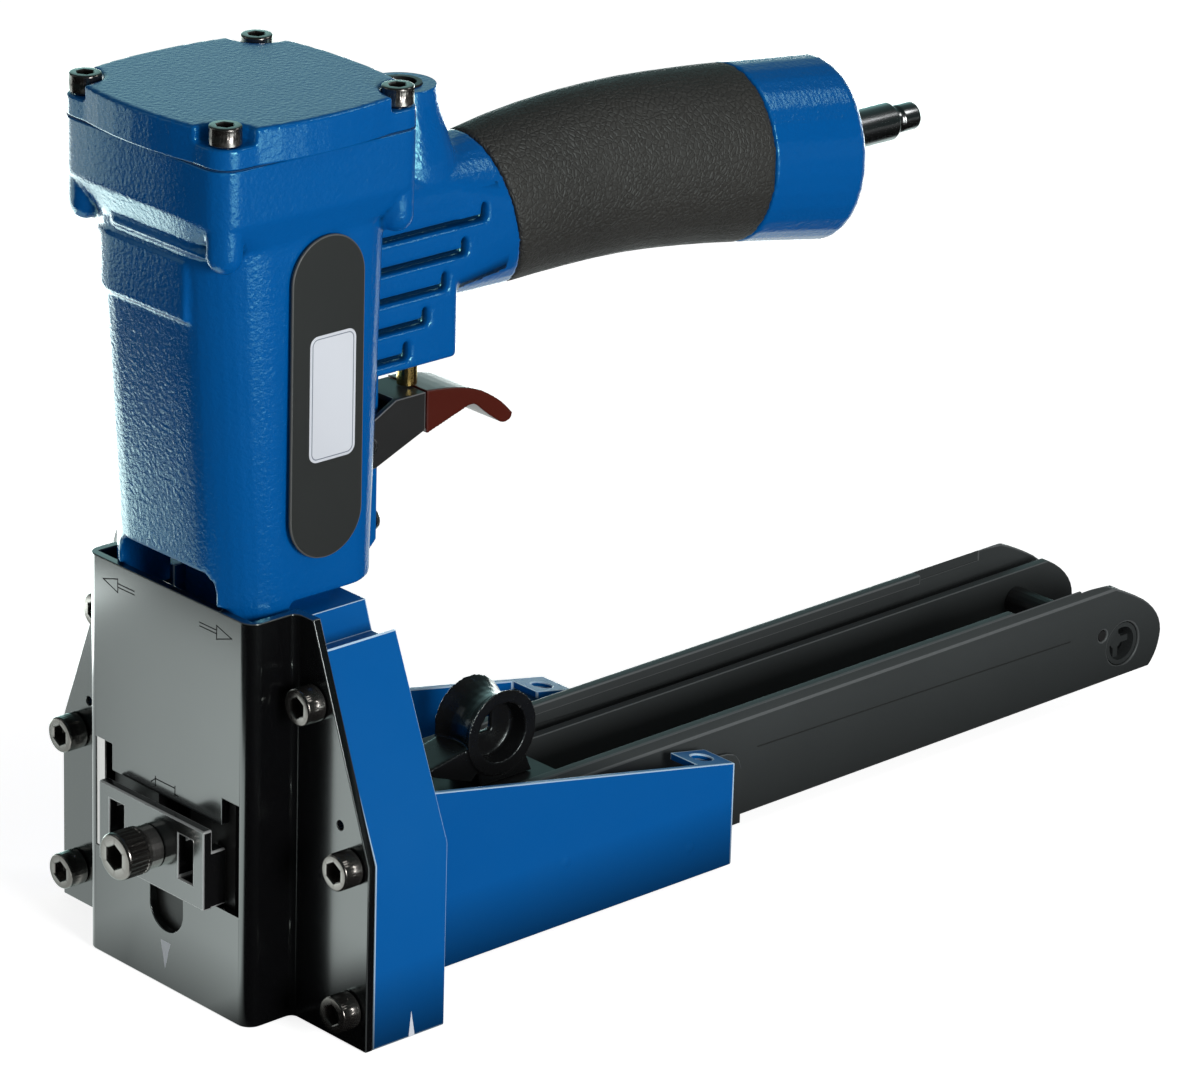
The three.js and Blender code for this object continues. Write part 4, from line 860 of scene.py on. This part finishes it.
nippleValues = {
    "start": 214.8, "z": 191.3, "facets": 56, "smooth": 30,
    "corners": [(2.4, -6.6), (3.75, -6.6), (3.75, 0), (6.8, 0), (6.8, 6.9), (5.5, 8.4), (5.5, 26.6),
                (3.4, 27.8), (3.4, 29.6), (4.0, 30.3), (4.0, 36.0), (3.2, 36.8), (2.4, 36.8), (2.4, -6.6)],
    "radii": [0, 0.2, 0.2, 0.5, 0.5, 0.4, 0.5, 0.4, 0.4, 0.4, 0.5, 0.3, 0.2, 0],
}
mouldedValues = {
    "grip_sleeve": {"name": "grip_moulded", "voxel": 0.9, "passes": 5},
    "pusher_knob": {"name": "knob_moulded", "voxel": 0.4, "passes": 8},
    "trigger_finger": {"name": "finger_moulded", "voxel": 0.35, "passes": 4},
}


def makeNipple(values):
    # The closed section of a tube: outside from the thread to the tip, then back along the bore
    section = roundProfile(values["corners"], values["radii"])[:-1]
    place = np.array([0, values["start"], values["z"]]) * mm
    piece = turnedPiece("nipple_turned", section[:, :1], section[:, 1:], values["facets"], place, "+y",
                        values["smooth"], closed=True)
    finished(piece, "brightSteel", "air_nipple")


makeNipple(nippleValues)
for node, values in mouldedValues.items():
    finished(cast(values["name"], [mergedCopy(node)], values), finishOf(node), node)

print("stage: label and marks")

labelValues = {
    "x": 31.7, "sink": 0.04, "thick": 0.16, "y": (3.1, 18.3), "z": (152.8, 187.0), "corner": 2.6,
    "edge": 0.08, "inset": 0.7, "line": 0.28, "lineProud": 0.02,
}
coverFace = -17.74
markValues = {"stroke": 0.32, "proud": 0.03, "sink": 0.05}
arrowStrokes = [
    [(26.6, 108.5), (20.5, 110.3)], [(20.5, 110.3), (20.5, 106.5)], [(20.5, 106.5), (26.6, 108.5)],
    [(20.5, 109.0), (13.6, 109.0)], [(20.5, 108.0), (13.6, 108.0)],
]
scaleStrokes = [
    [(-4.6, 56.6), (-4.6, 59.4)], [(3.6, 56.6), (3.6, 59.4)], [(-4.6, 58.8), (3.6, 58.8)],
    [(-6.4, 57.4), (-4.6, 58.8)], [(3.6, 57.0), (5.0, 57.0)],
]
wedgeValues = {
    "front_index": {
        "corners": [(-2.3, coverFace, 13.2), (1.9, coverFace, 13.2), (-0.4, coverFace, 5.2)],
        "lift": (0, -0.03, 0),
    },
    "side_index": {"corners": [(64, 12.2, 0.3), (64, 14.3, 0.3), (64, 13.0, 7.6)], "lift": (0.03, 0, 0)},
}


def roundedRing(low, high, corner, steps=8):
    # Points round a rounded rectangle: a quarter circle in each corner, one after the other
    turn = np.linspace(0, np.pi / 2, steps) + np.arange(4)[:, None] * np.pi / 2
    sides = np.array([[1, 1], [-1, 1], [-1, -1], [1, -1]])[:, None]
    middle = (low + high) / 2 + sides * ((high - low) / 2 - corner)
    return (middle + np.stack([np.cos(turn), np.sin(turn)], -1) * corner).reshape(-1, 2)


def outlinePoints(rings):
    # Outlines in y and z, each at its own x, as points in metres
    return np.concatenate([np.column_stack([np.full(len(line), x), line]) for line, x in rings]) * mm


def ringPlate(name, outer, x0, x1, edge):
    # A plate along X: its outline at the back, at the front's edge, and drawn in for the eased rim
    middle = outer.mean(0)
    shrunk = middle + (outer - middle) * (1 - edge / np.linalg.norm(outer - middle, axis=1, keepdims=True))
    points = outlinePoints([(outer, x0), (outer, x1 - edge / 2), (shrunk, x1)])
    count = len(outer)
    faces = gridFaces(3, count).tolist()
    faces += [list(range(count))[::-1], list(range(2 * count, 3 * count))]
    return newPiece(name, points, faces, smooth=30)


def frameStrip(name, outer, inner, x0, x1):
    # A flat closed band between two outlines, with a small thickness along X
    points = outlinePoints([(outer, x0), (outer, x1), (inner, x1), (inner, x0)])
    count = len(outer)
    return newPiece(name, points, gridFaces(5, count) % (4 * count), smooth=30)


def makeLabel(values):
    # A rounded plate on the black strip, and a line round it, set in from its outline
    low, high = np.array([values["y"][0], values["z"][0]]), np.array([values["y"][1], values["z"][1]])
    x0, x1 = values["x"] - values["sink"], values["x"] + values["thick"]
    plate = ringPlate("label_plate", roundedRing(low, high, values["corner"]), x0, x1, values["edge"])
    finished(plate, "labelWhite", body="tool_body", slot="enamel")
    outer, inner = (
        roundedRing(low + inset, high - inset, values["corner"] - inset)
        for inset in (values["inset"], values["inset"] + values["line"])
    )
    band = frameStrip("label_line", outer, inner, x1 - values["lineProud"], x1 + values["lineProud"])
    finished(band, "labelGrey", body="tool_body", slot="enamel")


def strokeBoxes(strokes, width, front, rear):
    # Each stroke as a thin flat box: its two sides are a half width off its line
    strokes = np.asarray(strokes, float)
    along = strokes[:, 1] - strokes[:, 0]
    unit = along / np.linalg.norm(along, axis=1, keepdims=True)
    side = np.stack([-unit[:, 1], unit[:, 0]], -1) * width / 2
    ends = unit * width / 2
    a, b = strokes[:, 0] - ends, strokes[:, 1] + ends
    flat = np.stack([a - side, b - side, b + side, a + side], 1)
    points = np.concatenate([np.insert(flat, 1, depth, axis=-1) for depth in (front, rear)], 1)
    box = np.array([[0, 1, 2, 3], [7, 6, 5, 4], [0, 4, 5, 1], [1, 5, 6, 2], [2, 6, 7, 3], [3, 7, 4, 0]])
    faces = box[None] + 8 * np.arange(len(strokes))[:, None, None]
    return points.reshape(-1, 3) * mm, faces.reshape(-1, 4)


def makeMarks(values):
    # Both arrows and the scale mark as strokes on the cover's face; the left arrow mirrors the right
    front, rear = coverFace - values["proud"], coverFace + values["sink"]
    mirrored = [[(-x, z) for x, z in stroke] for stroke in arrowStrokes]
    marks = {"arrow_right": arrowStrokes, "arrow_left": mirrored, "scale_mark": scaleStrokes}
    for name, strokes in marks.items():
        points, faces = strokeBoxes(strokes, values["stroke"], front, rear)
        finished(newPiece(name, points, faces), "engraved", body="tool_body", slot="cover_enamel")


def makeWedge(name, values):
    # A thin three-cornered plate, its near face a little proud
    corners, lift = (np.asarray(values[key], float) for key in ("corners", "lift"))
    points = np.concatenate([corners + lift, corners - lift]) * mm
    faces = [(0, 1, 2), (5, 4, 3), (0, 3, 4, 1), (1, 4, 5, 2), (2, 5, 3, 0)]
    finished(newPiece(name, points, faces), "labelWhite", body="tool_body", slot="enamel")


makeLabel(labelValues)
makeMarks(markValues)
for name, values in wedgeValues.items():
    makeWedge(name, values)

print("stage: small details")

railValues = {
    "x": 24.0, "half": 0.22, "z": 26.6, "y": (176.0, 305.0), "tip": 0.5, "proud": 0.03, "sink": 0.1,
    "edge": 0.01,
}
linerValues = {"x": (-30.3, -26.3), "y": (-17.4, -16.6), "z": (30.8, 62.7), "edge": 0.25}
dimpleValues = {
    "x": 40.0, "spots": ((88.9, 19.9), (135.6, 10.8)), "radius": 1.9, "rise": 0.28, "sink": 0.02,
    "foot": -0.05, "facets": 40,
}


def tipped(points, degrees):
    # Turned up to the rear about the X axis, as the magazine is
    a = math.radians(degrees)
    spin = np.array([[1, 0, 0], [0, math.cos(a), math.sin(a)], [0, -math.sin(a), math.cos(a)]])
    return np.asarray(points, float) @ spin


def softBox(low, high, edge):
    # The corners of a box whose edges are cut back: for each axis, its corners drawn in along the other two
    low, high = np.array([low, high], float)
    corner = np.array([[i, j, k] for i in (0, 1) for j in (0, 1) for k in (0, 1)], float)
    insets = edge * (1 - np.eye(3))
    return np.concatenate([(low + inset) + corner * (high - low - 2 * inset) for inset in insets])


def hullPiece(name, points):
    # The convex shell round a set of points, in millimetres
    mesh = bpy.data.meshes.new(name)
    work = bmesh.new()
    for point in np.asarray(points, float) * mm:
        work.verts.new(point)
    bmesh.ops.convex_hull(work, input=work.verts)
    bmesh.ops.dissolve_limit(work, angle_limit=meshValues["flat"], verts=work.verts, edges=work.edges)
    work.to_mesh(mesh)
    work.free()
    return placed(name, mesh)


def makeDimples(values):
    # A low dome on the bracket's face, as left by the press: its height is the sine of the way inwards
    sweep = np.linspace(0, 1, 7)
    dome = np.stack([values["radius"] * (1 - sweep), values["rise"] * np.sin(sweep * np.pi / 2)], -1)
    profile = np.concatenate([[[0, values["foot"]], [values["radius"], values["foot"]]], dome])
    for index, (y, z) in enumerate(values["spots"]):
        for word, side, axis in (("right", 1, "+x"), ("left", -1, "-x")):
            place = np.array([side * (values["x"] - values["sink"]), y, z]) * mm
            piece = turnedPiece(f"bracket_dimple_{index}_{word}", profile[:, :1], profile[:, 1:],
                                values["facets"], place, axis)
            finished(piece, "enamelPlain", body="tool_body", slot="enamel")


def makeLiner(values):
    # The steel face in the cover's left notch, between the stated ends
    corners = softBox(*zip(values["x"], values["y"], values["z"]), values["edge"])
    finished(hullPiece("window_liner", corners), "faceSteel", body="tool_body", slot="steel")


def makeGroove(values):
    # A fine scored line along each side of the magazine, tipped up with it
    half, (front, rear) = values["half"], values["y"]
    for name, side in (("rail_line_right", 1), ("rail_line_left", -1)):
        proud, sunk = (side * (values["x"] + depth) for depth in (values["proud"], -values["sink"]))
        low = (min(proud, sunk), front, values["z"] - half)
        high = (max(proud, sunk), rear, values["z"] + half)
        points = tipped(softBox(low, high, values["edge"]), -values["tip"])
        finished(hullPiece(name, points), "stripBlack", body="tool_body", slot="satin_black")


makeDimples(dimpleValues)
makeLiner(linerValues)
makeGroove(railValues)

print("stage: floor and light")

floorValues = {
    "size": 8.0, "color": (0.86, 0.86, 0.86), "drop": 0.0002, "seen": 0.80, "roughness": 0.9,
    "specular": 0.1, "tint": (0.93, 1, 0.985, 1),
    # What a gloss face sees of it. Before the part: by x and the lean of y, as far as a line on x
    "lean": 1.27, "until": 0.035, "untilGain": 50.0, "fadeGain": 22.0,
    "near": [(-0.08, 0.95), (-0.012, 1.0), (0.012, 1.35), (0.034, 1.42), (0.056, 1.65), (0.09, 1.65)],
    # brighter to the left; both end at a distance from the part
    "left": 6.6, "leftFrom": 0.218, "leftGain": 50.0, "reach": 0.185, "reachGain": 55.0, "turn": 0.45,
    # a card far to the left, in front of a slanting line
    "card": 1.35, "cardFrom": 0.45, "cardGain": 20.0, "slant": 0.83, "offset": 0.008, "slantGain": 40.0,
    # a card far to the right, from a line on x and within a width
    "corner": 3.6, "cornerFrom": 0.64, "cornerAt": 0.10, "cornerHalf": 0.30, "cornerGain": 20.0,
    # and the right rear by x
    "right": [(0.0, 0.0), (0.25, 0.01), (0.6, 0.035), (1.5, 0.2)],
}


def rampNode(value, pairs):
    # A number looked up along a line of (place, level)
    low, high = pairs[0][0], pairs[-1][0]
    top = max(level for _, level in pairs)
    ramp = nodeIn(value.id_data, "FloatCurve", {"Value": between(value, low, high)})
    curve = ramp.mapping.curves[0]
    while len(curve.points) < len(pairs):
        curve.points.new(0.5, 0.5)
    for point, (place, level) in zip(curve.points, pairs):
        point.location = ((place - low) / (high - low), level / top)
        point.handle_type = "VECTOR"
    ramp.mapping.update()
    return times(ramp.outputs[0], top)


def floorCards(tree, values):
    # How bright gloss faces see the floor, by its x and y: each card is a product of slopes and its level
    split = nodeIn(tree, "SeparateXYZ", {0: objectPlace(tree)})
    x, y = split.outputs["X"], split.outputs["Y"]
    front, leftward = times(y, -1.0), times(x, -1.0)
    leant = plus(x, times(front, values["lean"]))
    fade = rising(mathNode("MAXIMUM", leftward, front), 0.0, values["fadeGain"])
    before = rising(minus(values["until"], x), 0.0, values["untilGain"])
    near = times(rampNode(leant, values["near"]), fade, before)
    left = times(rising(leftward, values["leftFrom"], values["leftGain"]), values["left"])
    outward = mathNode("MAXIMUM", minus(leftward, values["leftFrom"]), 0.0)
    depth = plus(front, times(outward, values["turn"]))
    close = minus(1.0, rising(depth, values["reach"], values["reachGain"]))
    near = times(mathNode("MAXIMUM", near, left), close)
    slant = plus(y, minus(times(leftward, values["slant"]), values["offset"]))
    far = times(rising(leftward, values["cardFrom"], values["cardGain"]),
                rising(slant, 0.0, values["slantGain"]), values["card"])
    aside = mathNode("ABSOLUTE", minus(y, values["cornerAt"]), 0.0)
    within = minus(values["cornerHalf"], aside)
    corner = times(rising(x, values["cornerFrom"], values["cornerGain"]),
                   rising(within, 0.0, values["cornerGain"]), values["corner"])
    cards = plus(mathNode("MAXIMUM", near, far), corner)
    return plus(cards, rampNode(x, values["right"]))


def makeFloor(values):
    # A pale floor, of an even brightness to the camera; gloss faces see cards in its place
    low = cadBox[0].z - values["drop"]
    half = values["size"] / 2
    points = [(-half, -half, low), (half, -half, low), (half, half, low), (-half, half, low)]
    floor = newPiece("floor", points, [(0, 1, 2, 3)])
    material = bpy.data.materials.new("floorPale")
    material.use_nodes = True
    material.cycles.emission_sampling = "NONE"
    tree = material.node_tree
    shader = tree.nodes["Principled BSDF"]
    feed(shader, {
        "Base Color": (*values["color"], 1), "Roughness": values["roughness"],
        "Specular IOR Level": values["specular"],
    })
    seen = nodeIn(tree, "LightPath").outputs
    level = times(seen["Is Camera Ray"], values["seen"])
    white = nodeIn(tree, "Emission", {"Color": (1, 1, 1, 1), "Strength": level})
    pale = nodeIn(tree, "AddShader", {0: shader.outputs[0], 1: white.outputs[0]})
    inputs = {"Color": values["tint"], "Strength": floorCards(tree, values)}
    cards = nodeIn(tree, "Emission", inputs)
    inputs = {0: seen["Is Glossy Ray"], 1: pale.outputs[0], 2: cards.outputs[0]}
    mixed = nodeIn(tree, "MixShader", inputs)
    feed(tree.nodes["Material Output"], {"Surface": mixed.outputs[0]})
    floor.data.materials.append(material)


makeFloor(floorValues)

worldValues = {
    "behind": (-0.80, 0.50, 0.12),
    # Plain light by the direction's height
    "around": [(-1.0, 0.20), (0.0, 0.24), (0.35, 0.20), (1.0, 0.20)],
    # Brightness that a gloss face sees, by the cosine of its ray's angle to the direction behind
    "mirror": [(-1.0, 0.02), (0.0, 0.03), (0.5, 0.05), (0.8, 0.12), (0.92, 0.38), (0.965, 0.62), (0.98, 0.78),
               (1.0, 1.3)],
    "cool": (0.60, 1.0, 1.0),
}


def makeWorld(values):
    # The camera sees an even white, gloss faces the mirror line by the angle off behind, the rest plain light
    world = bpy.data.worlds.new("studio")
    bpy.context.scene.world = world
    world.use_nodes = True
    tree = world.node_tree
    path = nodeIn(tree, "LightPath").outputs
    direction = nodeIn(tree, "TexCoord").outputs["Generated"]
    inputs = {0: direction, 1: Vector(values["behind"]).normalized()}
    toward = nodeIn(tree, "VectorMath", inputs, operation="DOT_PRODUCT").outputs["Value"]
    height = nodeIn(tree, "SeparateXYZ", {0: direction}).outputs["Z"]
    gloss, camera = path["Is Glossy Ray"], path["Is Camera Ray"]
    plain = times(rampNode(height, values["around"]), minus(1.0, gloss))
    level = plus(plain, times(gloss, rampNode(toward, values["mirror"])))
    level = times(level, minus(1.0, camera))
    feed(tree.nodes["Background"], {
        "Strength": plus(level, camera),
        "Color": mixColor(gloss, (1.0, 1.0, 1.0), values["cool"]),
    })


makeWorld(worldValues)

lampAim = (0, 0.1, 0.12)
lamps = [
    {"name": "right_side", "place": (1.5, -0.08, 0.45), "size": (0.5, 0.5), "power": 14.8},
    {"name": "left_front", "place": (-0.9, -1.0, 0.7), "size": (0.6, 0.6), "power": 0.5},
    {"name": "edge_back", "place": (0.55, 0.95, 1.0), "size": (0.35, 0.35), "power": 1.5},
]


def makeLamp(values):
    # A square lamp that faces the aim
    light = bpy.data.lights.new(values["name"], "AREA")
    light.shape = "RECTANGLE"
    light.size, light.size_y = values["size"]
    light.energy = values["power"]
    lamp = placed(values["name"], light)
    lamp.location = Vector(values["place"])
    lamp.rotation_euler = (lamp.location - Vector(lampAim)).to_track_quat("Z", "Y").to_euler()


for values in lamps:
    makeLamp(values)

bpy.context.scene.view_settings.view_transform = "Standard"
